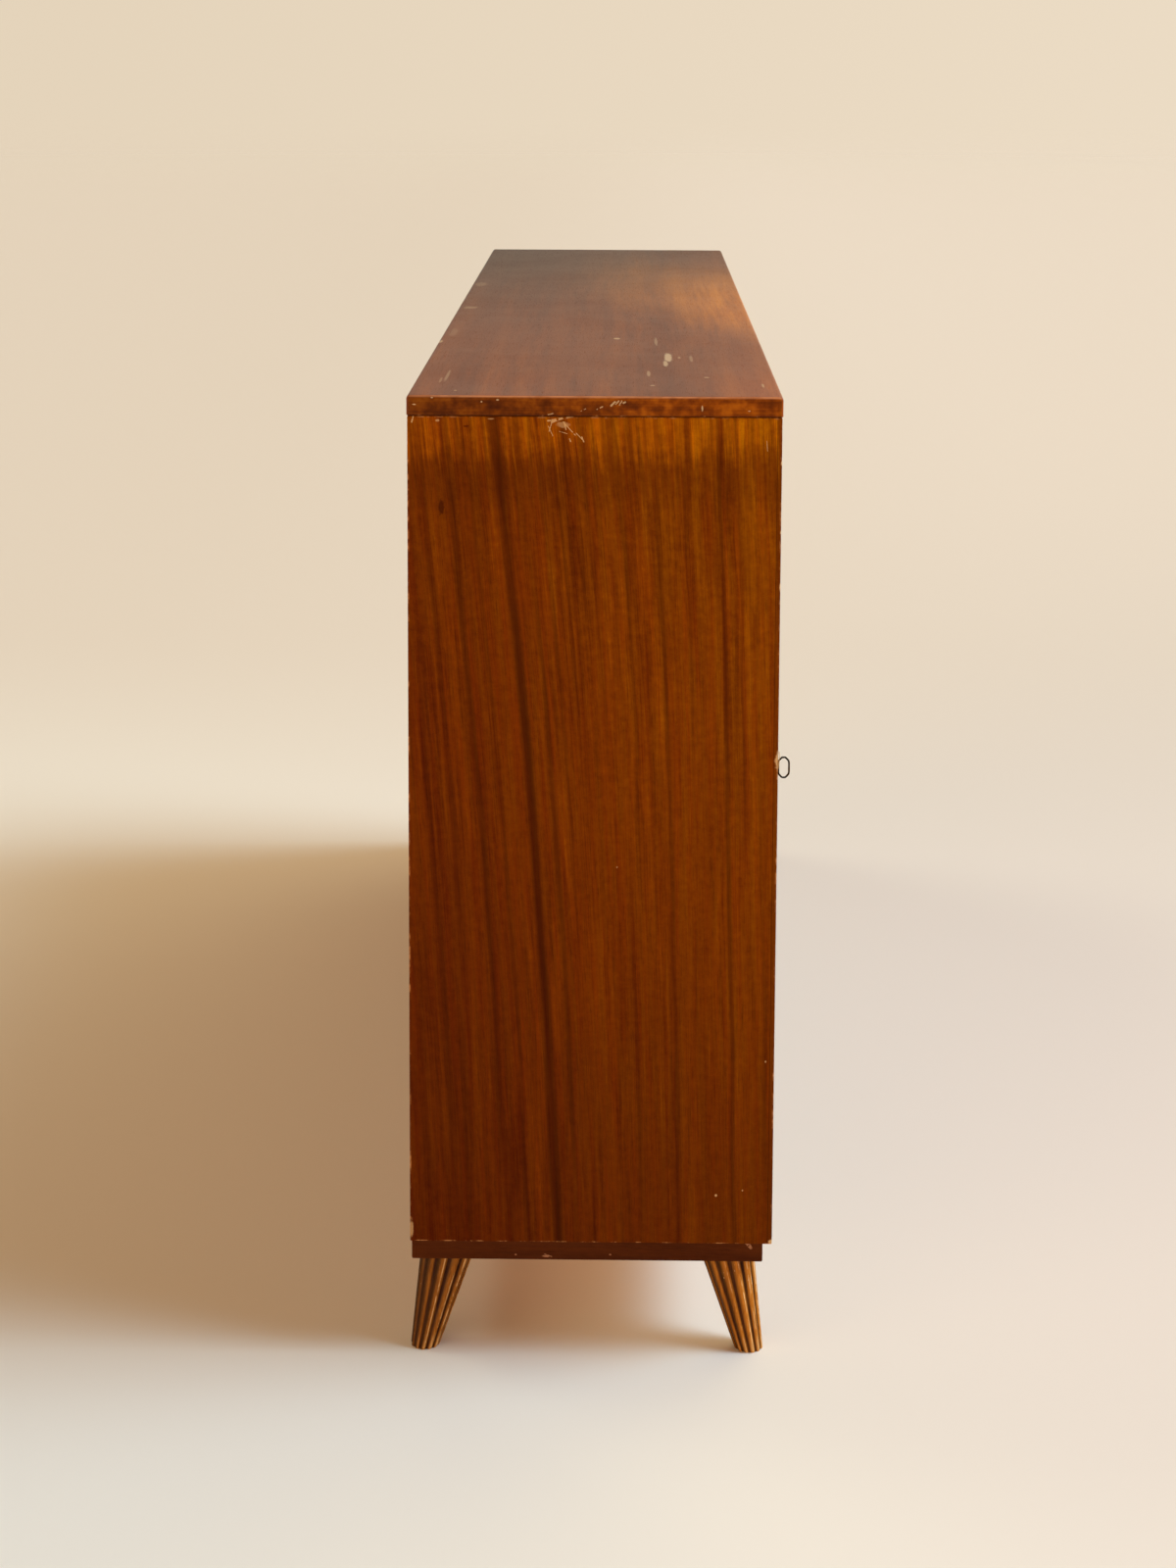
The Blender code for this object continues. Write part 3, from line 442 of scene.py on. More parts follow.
def end_panel_veneer(name, box, near):
    """The veneer of an end. The near one has the streaks and marks that the picture shows."""
    wood = Wood(name, "Z", box, 0.0 if near else 0.61)
    x, y, z = wood.split(wood.where)
    rise = wood.total(z, -PANEL_MIDDLE)
    lean = wood.total(
        wood.product(rise, GRAIN_LEAN[0]), wood.product(rise, rise, GRAIN_LEAN[1])
    )
    if near:
        lean = wood.product(lean, wood.band(y, -0.12, 0.10, 0.4, 1.0))
    across = wood.minus(y, lean)
    place = wood.join(x, across, z)
    place = wood.vector("ADD", place, (0.0, 0.0, 0.0) if near else (0.3, 0.7, 0.4))
    wood.grain(place, ribbons=0.72, lines=0.92, fibres=0.50, mottle=0.72, middle=0.5, sway=0.010)
    livelier = wood.product(wood.total(wood.tone, -0.5), wood.band(z, 0.25, 1.0, 0.66, 0.84))
    wood.tone = wood.total(livelier, 0.5)
    colour = wood.coloured(0.35)
    if near:
        sway = wood.product(wood.total(wood.noise(place, (2.0, 6.0, 3.2), 3.0), -0.5), 0.010)
        swayed = wood.total(across, sway)
        uneven = wood.noise(place, (20.0, 120.0, 5.0), 3.0, 0.6)
        masks = []
        for middle, half_width, strength, heights in PANEL_STREAKS:
            away = wood.math("ABSOLUTE", wood.minus(swayed, middle))
            line = wood.band(away, half_width * 0.15, half_width, 1.0, 0.0)
            masks.append(wood.product(line, wood.window(z, heights), strength))
        streak = wood.product(wood.most(*masks), wood.band(uneven, 0.25, 0.6, 0.6, 1.0))
        colour = wood.tinted(colour, STREAK_COLOUR, streak, 0.80)
        knots = marks_of(wood, wood.where, KNOTS)
        colour = wood.tinted(colour, KNOT_COLOUR, knots)
    # Painted shade: darker towards the floor and the back, and in a ragged band below the top. Painted
    # light: yellower and brighter under the top
    to_front = wood.band(y, -0.22, 0.24, 1.0, 0.0)
    depth = wood.product(
        wood.band(z, 0.05, 0.85, 0.61, 1.0), wood.total(0.79, wood.product(to_front, 0.34))
    )
    reddish = wood.noise(place, (30.0, 120.0, 5.0), 3.0, 0.65)
    green = wood.product(
        depth, wood.total(0.84, wood.product(to_front, 0.22)), wood.band(z, 0.1, 1.05, 0.98, 1.16),
        wood.band(reddish, 0.30, 0.66, 0.84, 1.10),
    )
    # The depth and green gains are painted shade, with some random reddish tone in the green
    colour = wood.times(colour, wood.join(depth, green, green))
    drips = wood.noise(place, (1.0, 150.0, 6.0), 3.0, 0.6)
    patches = wood.noise(wood.where, (10.0, 30.0, 22.0), 4.0, 0.6)
    ragged = wood.total(z, wood.product(drips, -0.085), wood.product(patches, -0.060))
    # A ragged band of painted shade, and above it a streaky band of painted light under the top
    shade = wood.product(wood.window(ragged, (0.870, 0.905, 0.925, 0.950)), 0.20)
    colour = wood.tinted(colour, PANEL_SHADE, shade)
    # Painted light: the band under the top is drawn brighter and yellower
    bright = wood.band(ragged, 0.920, 0.972)
    gold = wood.mix(wood.band(drips, 0.38, 0.62), *PAINTED_LIGHT_BAND_GAINS)
    colour = wood.mix(bright, colour, wood.times(colour, gold))
    # Solid lipping along the front edge, and a dark joint beside it
    lip = wood.band(y, -0.1746, -0.1742, 1.0, 0.0)
    joint = wood.window(y, (-0.1751, -0.1747, -0.1745, -0.1740))
    colour = wood.tinted(colour, LIPPING_COLOUR, lip, 0.35)
    colour = wood.tinted(colour, JOINT_COLOUR, joint, 0.6)
    scratched = scratches_of(wood, y, z, PANEL_SCRATCHES) if near else None
    return wood.finished(colour, roughness=0.46, gloss=0.02, wear=0.8,
                         marks=PANEL_MARKS if near else (), mark_colour=PANEL_MARK,
                         scratched=scratched)


# Marks on the top, in the same form: its upper face, then its left end
TOP_MARKS = (
    ((-0.640, -0.0630, 1.076), (0.055, 0.0056, 0.01), 0.70),
    ((-0.700, -0.0590, 1.076), (0.035, 0.0034, 0.01), 0.6),
    ((-0.640, -0.0760, 1.076), (0.014, 0.0020, 0.01), 0.35),
    ((-0.650, -0.0900, 1.076), (0.040, 0.0026, 0.01), 0.25),
    ((-0.470, -0.0500, 1.076), (0.050, 0.0024, 0.01), 0.30),
    ((-0.436, -0.0010, 1.076), (0.010, 0.0050, 0.01), 0.6),
    ((-0.800, -0.0385, 1.076), (0.030, 0.0026, 0.01), 0.35),
    ((-0.832, -0.1033, 1.076), (0.008, 0.0038, 0.01), 0.4),
    ((-0.906, -0.0418, 1.076), (0.006, 0.0030, 0.01), 0.45),
    ((-0.902, -0.1630, 1.076), (0.020, 0.0016, 0.01), 0.5),
    ((-0.957, 0.1715, 1.076), (0.006, 0.0020, 0.01), 0.4),
    ((-0.825, 0.1880, 1.076), (0.060, 0.0022, 0.01), 0.25),
    ((-0.870, 0.1930, 1.076), (0.030, 0.0018, 0.01), 0.22),
    ((0.312, 0.2080, 1.076), (0.040, 0.0110, 0.01), 0.14),
    ((-0.049, 0.2040, 1.076), (0.020, 0.0120, 0.01), 0.20),
    ((-0.370, 0.2080, 1.076), (0.060, 0.0060, 0.01), 0.10),
    ((-0.480, 0.2180, 1.076), (0.018, 0.0030, 0.01), 0.6),
    ((-1.001, 0.1940, 1.0735), (0.01, 0.0016, 0.0007), 0.8),
    ((-1.001, 0.1410, 1.0695), (0.01, 0.0012, 0.0012), 0.8),
    ((-1.001, 0.1240, 1.0716), (0.01, 0.0020, 0.0010), 0.7),
    ((-1.001, 0.2130, 1.0662), (0.01, 0.0024, 0.0008), 0.8),
    ((-1.001, -0.0940, 1.0635), (0.01, 0.0011, 0.0038), 0.8),
    ((-1.001, -0.1440, 1.0610), (0.01, 0.0016, 0.0007), 0.8),
)
# Scratches on its left end
TOP_SCRATCHES = (
    ((0.0030, 1.0660), (-0.0010, 1.0700), 0.0008),
    ((-0.0020, 1.0680), (-0.0050, 1.0710), 0.0007),
    ((-0.0060, 1.0670), (-0.0085, 1.0712), 0.0006),
    ((-0.0100, 1.0690), (-0.0120, 1.0700), 0.0008),
    ((0.0180, 1.0620), (0.0120, 1.0650), 0.0005),
    ((0.0700, 1.0560), (0.0640, 1.0575), 0.0004),
    ((0.0350, 1.0600), (0.0300, 1.0625), 0.0003),
)
TOP_FAR_SHADE_AND_REFLECTION = (48, 26, 11)
TOP_HAZE = (96, 70, 62)
TOP_MARK = (206, 172, 128)
# How much red, green and blue the top gains under its painted pool of warm light, and where it is
# rubbed
PAINTED_LIGHT_GAIN = (2.45, 3.55, 1.1)
RUBBED_GAIN = (2.35, 2.6, 1.2)
BANDING_TONES = ((80, 32, 0), (105, 46, 0), (130, 62, 1), (155, 82, 6))
BANDING_FOOT = (52, 20, 3)
ARRIS_WEAR_AND_HIGHLIGHT = (214, 142, 94)


def top_veneer(name, box):
    """The top: veneer along its length, dulled by haze, with a worn arris that also carries a painted
    highlight, and banded edges. Painted shade and reflection darken the far back, and a painted pool
    of light warms the front.
    """
    wood = Wood(name, "X", box, 0.27)
    x, y, z = wood.split(wood.where)
    wood.grain(ribbons=0.62, lines=0.42, fibres=0.16, middle=0.42, sway=0.02)
    flat = wood.coloured(0.12)
    # Painted shade and reflection: the far back is drawn darker and greyer, also along the back edge
    to_front = wood.band(y, -0.20, 0.20, 1.0, 0.0)
    reach = wood.total(x, wood.product(to_front, -0.45))
    dark = wood.product(wood.band(reach, -0.75, 0.95), wood.total(1.0, wood.product(to_front, -0.2)))
    flat = wood.tinted(flat, TOP_FAR_SHADE_AND_REFLECTION, dark, 0.90)
    # A painted pool of warm light on the front, beyond a slanting line, drawn golden
    cloud = wood.noise(wood.where, (2.4, 9.0, 3.0), 4.0, 0.6)
    bound = wood.total(x, wood.product(y, -2.0), wood.product(cloud, -0.35))
    painted_light_pool = wood.product(
        wood.window(bound, (-0.34, 0.04, 0.30, 1.00)), wood.band(y, -0.17, 0.12, 1.0, 0.0),
        wood.band(cloud, 0.25, 0.60, 0.7, 1.0),
    )
    flat = wood.mix(painted_light_pool, flat, wood.times(flat, PAINTED_LIGHT_GAIN))
    rubbed = wood.product(wood.band(y, -0.19, -0.06, 1.0, 0.0), wood.band(x, -0.95, -0.60, 1.0, 0.4))
    stripes = wood.noise(wood.moved, (1.2, 36.0, 1.0), 3.0, 0.5)
    stripes = wood.product(
        wood.band(stripes, 0.47, 0.62), wood.band(x, -1.0, -0.66, 1.0, 0.0),
        wood.band(y, -0.18, 0.06, 1.0, 0.3),
    )
    warm = wood.times(flat, RUBBED_GAIN)
    flat = wood.mix(wood.product(wood.most(stripes, rubbed), 0.8), flat, warm)
    haze = wood.band(wood.noise(wood.where, (2.2, 7.0, 2.0), 4.0, 0.6), 0.25, 0.75, 0.55, 1.0)
    flat = wood.tinted(flat, TOP_HAZE, haze, 0.18)
    # The ends are banded with a cloudy figure
    figure = wood.noise(wood.moved, (150.0, 80.0, 90.0), 3.0, 0.5)
    layers = wood.noise(wood.moved, (150.0, 9.0, 330.0), 2.0, 0.5)
    figure = wood.total(wood.product(figure, 0.70), wood.product(layers, 0.30))
    banded = wood.ramp(wood.band(figure, 0.27, 0.73), BANDING_TONES)
    # Painted shade: the banded ends are drawn paler at the front and darker towards the back
    paler = wood.band(y, -0.10, 0.20, 1.18, 0.68)
    banded = wood.times(banded, wood.join(paler, paler, paler))
    on_end = wood.band(wood.math("ABSOLUTE", x), 0.9992, 1.0002)
    colour = wood.mix(on_end, flat, banded)
    foot = wood.product(on_end, wood.band(z, 1.0545, 1.0565, 1.0, 0.0))
    colour = wood.tinted(colour, BANDING_FOOT, foot, 0.7)
    # The rounded arris is rubbed pale all along, and the pale line is also a painted highlight
    from_top = wood.minus(float(box[1].z), z)
    ridge = wood.product(
        wood.band(from_top, 0.0, 0.0030, 1.0, 0.0),
        wood.band(wood.math("ABSOLUTE", x), 0.9972, 0.9990),
    )
    rub = wood.band(wood.noise(wood.where, (60.0, 34.0, 60.0), 4.0, 0.6), 0.32, 0.62, 0.55, 0.95)
    colour = wood.tinted(colour, ARRIS_WEAR_AND_HIGHLIGHT, ridge, rub)
    scratched = scratches_of(wood, y, z, TOP_SCRATCHES)
    scratched = wood.product(scratched, wood.band(x, -0.99, -0.98, 1.0, 0.0))
    return wood.finished(colour, roughness=0.42, gloss=0.06, wear=0.7, wear_width=0.0034,
                         patches=(0.55, 0.72), marks=TOP_MARKS, mark_colour=TOP_MARK,
                         scratched=scratched)


PLINTH_WORN = (140, 92, 60)
PLINTH_MARK = (168, 114, 82)
PLINTH_MARKS = (
    ((-0.988, 0.0700, 0.1105), (0.01, 0.0048, 0.0014), 0.8),
    ((-0.988, 0.1040, 0.1120), (0.01, 0.0016, 0.0011), 0.8),
    ((-0.988, -0.0010, 0.1130), (0.01, 0.0014, 0.0011), 0.8),
)
PLINTH_SCRATCHES = (
    ((-0.1500, 0.1310), (-0.1555, 0.1245), 0.0016),
    ((-0.1525, 0.1275), (-0.1572, 0.1222), 0.0013),
    ((0.0720, 0.1130), (0.0640, 0.1100), 0.0004),
)


def plinth_wood(name, along, box, seed):
    wood = Wood(name, along, box, seed, PLINTH_TONES)
    wood.grain(ribbons=0.9, lines=0.7, fibres=0.4, middle=0.5)
    marks, scratched = (), None
    if name.startswith("plinth_left"):
        marks = PLINTH_MARKS
        _, y, z = wood.split(wood.where)
        scratched = scratches_of(wood, y, z, PLINTH_SCRATCHES)
    return wood.finished(wood.coloured(), roughness=0.5, gloss=0.04, wear=0.45, wear_width=0.0020,
                         patches=(0.60, 0.75), bare=PLINTH_WORN, marks=marks,
                         mark_colour=PLINTH_MARK, scratched=scratched)


def leg_wood(name, box, seed, painted_shade_gain):
    """Fluted beech in a golden stain: pale rubbed lands, dark hollows and small nicks, with painted
    shade on the sides that face back and painted highlights on the front ridges.
    """
    wood = Wood(name, "Z", box, seed, LEG_TONES)
    wood.grain(ribbons=0.4, lines=0.5, fibres=0.7, middle=0.58, sway=0.01)
    groove = wood.node("Attribute", attribute_name="groove").outputs["Fac"]
    front = wood.node("Attribute", attribute_name="front").outputs["Fac"]
    colour = wood.coloured(0.3)
    # Painted shade: the sides that face away from the front are darkened, more on the back legs, and
    # their hollows take a duller brown
    rubbed = wood.product(wood.band(front, -1.0, 0.4, 0.15, 1.06), painted_shade_gain)
    colour = wood.times(colour, wood.join(rubbed, rubbed, rubbed))
    dirt = wood.band(wood.noise(wood.where, (90.0, 90.0, 22.0), 4.0, 0.65), 0.25, 0.7, 0.75, 1.0)
    hollow = wood.product(wood.band(groove, 0.52, 0.82), dirt)
    stain = wood.mix(wood.band(front, -0.9, -0.2), linear(LEG_GROOVE_BEHIND), linear(LEG_GROOVE))
    colour = wood.mix(hollow, colour, stain)
    # Worn rims that are also a painted highlight, along the ridges that face the front
    rim = wood.window(groove, (0.14, 0.28, 0.34, 0.48))
    worn = wood.band(wood.noise(wood.where, (120.0, 120.0, 30.0), 4.0, 0.7), 0.42, 0.58)
    worn = wood.product(rim, worn, wood.band(front, 0.05, 0.60))
    colour = wood.tinted(colour, LEG_RIM_WEAR_AND_HIGHLIGHT, worn)
    nicks = wood.band(wood.noise(wood.moved, (330.0, 330.0, 130.0), 3.0, 0.6), 0.68, 0.73)
    z = wood.split(wood.where)[2]
    foot = wood.product(wood.band(z, 0.004, 0.022, 0.8, 0.0), wood.band(front, -0.6, 0.4))
    foot = wood.product(foot, wood.band(groove, 0.35, 0.6, 1.0, 0.0))
    colour = wood.tinted(colour, LEG_FOOT_WORN, foot)
    nicks = wood.product(nicks, wood.band(groove, 0.4, 0.6, 1.0, 0.0))
    colour = wood.tinted(colour, LEG_NICK, nicks, 0.7)
    height = wood.total(wood.product(wood.fibres, 0.3), wood.product(nicks, -0.8))
    rough = wood.total(0.32, wood.product(hollow, 0.16), wood.product(wood.pores, 0.08))
    return wood.surface(colour, rough, height, 0.00022, **{"Specular IOR Level": 0.08})


def plywood(name, box, seed):
    """Rotary-cut plywood: wide wavy figure, matt, with a dusty cast."""
    wood = Wood(name, "X", box, seed, PLY_TONES)
    z = wood.split(wood.where)[2]
    bend = wood.noise(wood.moved, (1.1, 1.0, 2.6), 3.0, 0.55)
    waves = wood.math("SINE", wood.total(wood.product(bend, 46.0), wood.product(z, 26.0)))
    wood.grain(ribbons=0.35, lines=0.35, fibres=0.45, middle=0.45)
    wood.tone = wood.total(wood.tone, wood.product(waves, 0.12))
    colour = wood.coloured(0.25)
    dust = wood.band(wood.noise(wood.where, 5.0, 5.0, 0.65), 0.40, 0.75)
    colour = wood.tinted(colour, PLY_DUST, dust, 0.25)
    return wood.finished(colour, roughness=0.74, gloss=0.12, wear=0.5, wear_width=0.0015,
                         patches=(0.55, 0.7), bare=(190, 152, 104))


# Metals

def brass(name, bright, dark, tarnish, roughness):
    """Brass with tarnish in soft patches, small spots and fine scratches."""
    finish = Finish(name)
    place = finish.place()
    clouds = finish.noise(place, 110.0, 4.0, 0.6)
    spots = finish.band(finish.noise(place, 700.0, 2.0), 0.62, 0.72)
    rubbed = finish.noise(place, (1500.0, 1500.0, 260.0), 2.0)
    share = finish.most(finish.band(clouds, 0.65 - tarnish * 0.4, 0.85 - tarnish * 0.4), spots)
    colour = finish.mix(share, linear(bright), linear(dark))
    rough = finish.total(roughness, finish.product(share, 0.22), finish.product(rubbed, 0.08))
    height = finish.total(finish.product(rubbed, 0.4), finish.product(spots, -0.6))
    return finish.surface(colour, rough, height, 0.00006, Metallic=1.0)


# New pieces

def skin(bm, loops, closed=False):
    """Joins loops of corners, with flat ends unless the last loop meets the first."""
    pairs = list(zip(loops, loops[1:]))
    if closed:
        pairs.append((loops[-1], loops[0]))
    for one, two in pairs:
        count = len(one)
        for i in range(count):
            bm.faces.new((one[i], one[(i + 1) % count], two[(i + 1) % count], two[i]))
    if not closed:
        bm.faces.new(reversed(loops[0]))
        bm.faces.new(loops[-1])


def loft(bm, rings, closed=False):
    """Makes a skin from rings of points."""
    skin(bm, [[bm.verts.new(point) for point in ring] for ring in rings], closed)


def piece(name, bm, body, material, replaces=(), sharp=30):
    bmesh.ops.recalc_face_normals(bm, faces=bm.faces[:])
    mesh = bpy.data.meshes.new(name)
    bm.to_mesh(mesh)
    bm.free()
    for face in mesh.polygons:
        face.use_smooth = True
    mesh.set_sharp_from_angle(angle=math.radians(sharp))
    mesh.materials.append(material)
    obj = bpy.data.objects.new(name, mesh)
    bpy.context.scene.collection.objects.link(obj)
    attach(obj, body)
    if replaces:
        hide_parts(*replaces)


# Legs: twelve round lands with hollows between them, leaning outwards both ways
LEG_TOP = (0.9495, -0.1315, 0.1810)
LEG_SPLAY = 0.025
LEG_HEIGHT = 0.1057
LEG_RADII = (0.016, 0.031)
LEG_COLLAR = 0.002
FLUTES = 12
FLUTE_STEPS = 16
FLUTE_DEPTH = 0.11
FLUTE_POWER = 1.4
FLUTE_TURN = {"front": math.radians(2), "back": math.radians(8)}
# Painted shade: the back legs are drawn darker than the front ones
LEG_PAINTED_SHADE_GAIN = {"front": 1.02, "back": 0.66}
LEG_LEVELS = (0.0, 0.0004, 0.0015, 0.003, 0.012, 0.03, 0.05, 0.07, 0.09, 0.1, 0.1032)
LEG_ROUNDING = (0.0017, 0.0008, 0.0002)


def flute_depth(phase):
    """How deep the hollow is at a share of the pitch, counted from a land's middle. 0 to 1."""
    return ((1 - math.cos(math.tau * phase)) / 2) ** FLUTE_POWER


def make_leg(end, side, depth_label, out):
    label = depth_label + "_" + end
    top = Vector((side * LEG_TOP[0], LEG_TOP[1] if out < 0 else LEG_TOP[2]))
    foot = top + Vector((side, out)) * LEG_SPLAY
    turn = -side * FLUTE_TURN[depth_label]
    count = FLUTES * FLUTE_STEPS
    levels = [*LEG_LEVELS, LEG_HEIGHT - LEG_COLLAR, LEG_HEIGHT]
    bm = bmesh.new()
    groove_layer = bm.verts.layers.float.new("groove")
    front_layer = bm.verts.layers.float.new("front")
    rings = []
    for level, z in enumerate(levels):
        share = z / LEG_HEIGHT
        centre = foot.lerp(top, share)
        radius = LEG_RADII[0] + (LEG_RADII[1] - LEG_RADII[0]) * share
        if level < len(LEG_ROUNDING):
            radius -= LEG_ROUNDING[level]
        fluted = z < LEG_HEIGHT - LEG_COLLAR
        ring = []
        for step in range(count):
            angle = math.tau * step / count + turn + math.pi / FLUTES
            phase = step / FLUTE_STEPS
            depth = flute_depth(phase) if fluted else 0.0
            ahead = flute_depth(phase + 0.01) if fluted else 0.0
            slope = FLUTE_DEPTH * (depth - ahead) / 0.01 * FLUTES / math.tau
            reach = radius * (1 - FLUTE_DEPTH * depth)
            vert = bm.verts.new(
                (centre.x + reach * math.cos(angle), centre.y + reach * math.sin(angle), z)
            )
            vert[groove_layer] = 2 * abs(phase - round(phase)) if fluted else 0.45
            vert[front_layer] = -math.sin(angle - math.atan(slope))
            ring.append(vert)
        rings.append(ring)
    skin(bm, rings)
    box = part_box("leg_" + label)
    painted_shade_gain = LEG_PAINTED_SHADE_GAIN[depth_label]
    material = leg_wood("leg_" + label + "_stain", box, 0.2 + 0.3 * side + 0.45 * out, painted_shade_gain)
    piece("turned_leg_" + label, bm, "case", material, ("leg_" + label,), sharp=35)


# Keys: an oval wire bow on a bored shank, with a bit that points down at rest
KEY_X = 0.521
KEY_Z = 0.546
KEY_TIP = -0.2213
BOW_LENGTH = 0.0156
BOW_WIDTH = 0.028
WIRE = 0.00115
SHANK = 0.0025
BORE = 0.0015
SHANK_END = -0.1510
KEY_SIDES = 24
WIRE_SIDES = 12
BIT_SPAN = (-0.1570, -0.1520)
BIT_DROP = 0.011
BIT_HALF = 0.001
# The slit in the bit: half its width, and its depth
SLIT = (0.0005, 0.0042)
BIT_CHAMFER = 0.0004


def round_ring(x, y, radius):
    angles = [math.tau * i / KEY_SIDES for i in range(KEY_SIDES)]
    return [(x + radius * math.cos(a), y, KEY_Z + radius * math.sin(a)) for a in angles]


def bow_path():
    """A long octagon in the YZ plane with rounded corners."""
    half_y = BOW_LENGTH / 2 - WIRE
    half_z = BOW_WIDTH / 2 - WIRE
    corner = [(1.0, -0.62), (1.0, 0.62), (0.34, 1.0), (-0.34, 1.0),
              (-1.0, 0.62), (-1.0, -0.62), (-0.34, -1.0), (0.34, -1.0)]
    points = [
        Vector((KEY_TIP + BOW_LENGTH / 2 + half_y * a, KEY_Z + half_z * b)) for a, b in corner
    ]
    for _ in range(2):
        cut = []
        for i, here in enumerate(points):
            after = points[(i + 1) % len(points)]
            cut += [here.lerp(after, 0.13), here.lerp(after, 0.87)]
        points = cut
    return points


def make_key(end, side, material):
    x = side * KEY_X
    root = KEY_TIP + BOW_LENGTH
    bm = bmesh.new()
    profile = (
        (root - WIRE, 0.0010), (root - WIRE * 0.8, 0.0016), (root - 0.0002, 0.0026),
        (root + 0.0002, 0.0034), (root + 0.0006, 0.0036), (root + 0.0014, 0.0036),
        (root + 0.0018, 0.0034), (root + 0.0022, 0.0028), (root + 0.0028, 0.0025),
        (SHANK_END - 0.0004, SHANK), (SHANK_END, SHANK - 0.0004), (SHANK_END, BORE),
        (SHANK_END - 0.008, BORE),
    )
    loft(bm, [round_ring(x, y, radius) for y, radius in profile])
    path = bow_path()
    wire = []
    for i, here in enumerate(path):
        run = (path[(i + 1) % len(path)] - path[i - 1]).normalized()
        across = Vector((run.y, -run.x))
        ring = []
        for j in range(WIRE_SIDES):
            angle = math.tau * j / WIRE_SIDES
            a, b = WIRE * math.cos(angle), WIRE * math.sin(angle)
            ring.append((x + a, here.x + b * across.x, here.y + b * across.y))
        wire.append(ring)
    loft(bm, wire, closed=True)
    # The bit has a slit cut up into it, as the lock's wards ask for
    near, far = BIT_SPAN
    low, high = KEY_Z - BIT_DROP, KEY_Z - BORE - 0.0003
    middle = (near + far) / 2
    here, there, deep = middle - SLIT[0], middle + SLIT[0], low + SLIT[1]
    outline = [
        (near, high), (near, low + BIT_CHAMFER), (near + BIT_CHAMFER, low), (here, low),
        (here, deep), (there, deep), (there, low),
        (far - BIT_CHAMFER, low), (far, low + BIT_CHAMFER), (far, high),
    ]
    loft(bm, [[(x + aside, y, z) for y, z in outline] for aside in (-BIT_HALF, BIT_HALF)])
    piece("wire_key_" + end, bm, "key_" + end, material, ("key_" + end,), sharp=40)


def screw(bm, middle, normal, radius, turn, proud):
    """A slotted head: a low disc with two raised halves on it."""
    middle = Vector(middle)
    normal = Vector(normal)
    side = normal.orthogonal().normalized()
    side = Matrix.Rotation(turn, 3, normal) @ side
    up = normal.cross(side)

    def at(a, b, height):
        return middle + side * a + up * b + normal * height

    steps = 14
    circle = [(math.cos(math.tau * i / steps), math.sin(math.tau * i / steps)) for i in range(steps)]
    loft(bm, [
        [at(radius * a, radius * b, -0.0002) for a, b in circle],
        [at(radius * a, radius * b, proud * 0.3) for a, b in circle],
        [at(radius * 0.93 * a, radius * 0.93 * b, proud * 0.45) for a, b in circle],
    ])
    half_slot = radius * 0.16
    for sign in (1, -1):
        start = math.asin(half_slot / (radius * 0.9))
        arc = [start + (math.pi - 2 * start) * i / 8 for i in range(9)]
        half = [(math.cos(a), sign * math.sin(a)) for a in arc]
        loft(bm, [
            [at(radius * 0.92 * a, radius * 0.92 * b, proud * 0.3) for a, b in half],
            [at(radius * 0.90 * a, radius * 0.90 * b, proud * 0.8) for a, b in half],
            [at(radius * 0.70 * a, sign * max(radius * 0.70 * abs(b), half_slot), proud)
             for a, b in half],
        ])


def screws(name, body, material, places, normal, radius, proud=0.0004):
    """One piece for all the screws of a fitting."""
    random.seed(name)
    bm = bmesh.new()
    for place in places:
        screw(bm, place, normal, radius, random.uniform(0, math.pi), proud)
    piece(name, bm, body, material, sharp=25)


# Where the fittings are: the doors' front and back faces, then the fit and plate on the back
FRONT = -0.1795
DOOR_BACK = -0.1595
FIT = 0.0003
PLATE = 0.0015
SCREW_RADIUS = {
    "hinge": 0.0022, "lock": 0.0024, "strike": 0.0022,
    "guide": 0.0019, "stop": 0.0034, "back": 0.0032,
}
# How far the screws stand in from the fittings' edges, along X and along Z
LOCK_INSET = (0.0045, 0.0045)
STRIKE_INSET = 0.004
GUIDE_INSET = (0.0031, 0.006)
BACK_INSET = (0.006, 0.007)
STOP_SHARES = (0.15, 0.5, 0.85)
BACK_COLUMNS = 12
BACK_ROWS = 6
# The hinges' pivots, and their screws' distances from them
PIVOTS = {"outer": 0.966, "inner": 0.024}
HINGE_SCREWS = (0.012, 0.024)
# The faces of the top and the bottom panel that the doors stand between
INNER_FACES = {"top": 1.054, "bottom": 0.152}
ESCUTCHEON_FACE = -0.1808
ESCUTCHEON_DROP = 0.004
ESCUTCHEON_PINS = 0.0142


def make_hinge_screws(end, side, material):
    for kind, pivot in PIVOTS.items():
        for level, up in (("top", 1), ("bottom", -1)):
            label = kind + "_" + end + "_" + level
            low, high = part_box("hinge_leaf_" + label)
            y = (low.y + high.y) / 2
            away = -side if kind == "outer" else side
            xs = [side * pivot + away * distance for distance in HINGE_SCREWS]
            face = high.z if up > 0 else low.z
            radius = SCREW_RADIUS["hinge"]
            screws("hinge_screws_" + label, "door_" + kind + "_" + end, material,
                   [(x, y, face) for x in xs], (0, 0, up), radius, 0.0003)
            screws("pin_leaf_screws_" + label, "case", material,
                   [(x, y, INNER_FACES[level]) for x in xs], (0, 0, -up), radius, 0.0003)


def corners(low, high, y, inset):
    return [(x, y, z) for x in (low.x + inset[0], high.x - inset[0])
            for z in (low.z + inset[1], high.z - inset[1])]


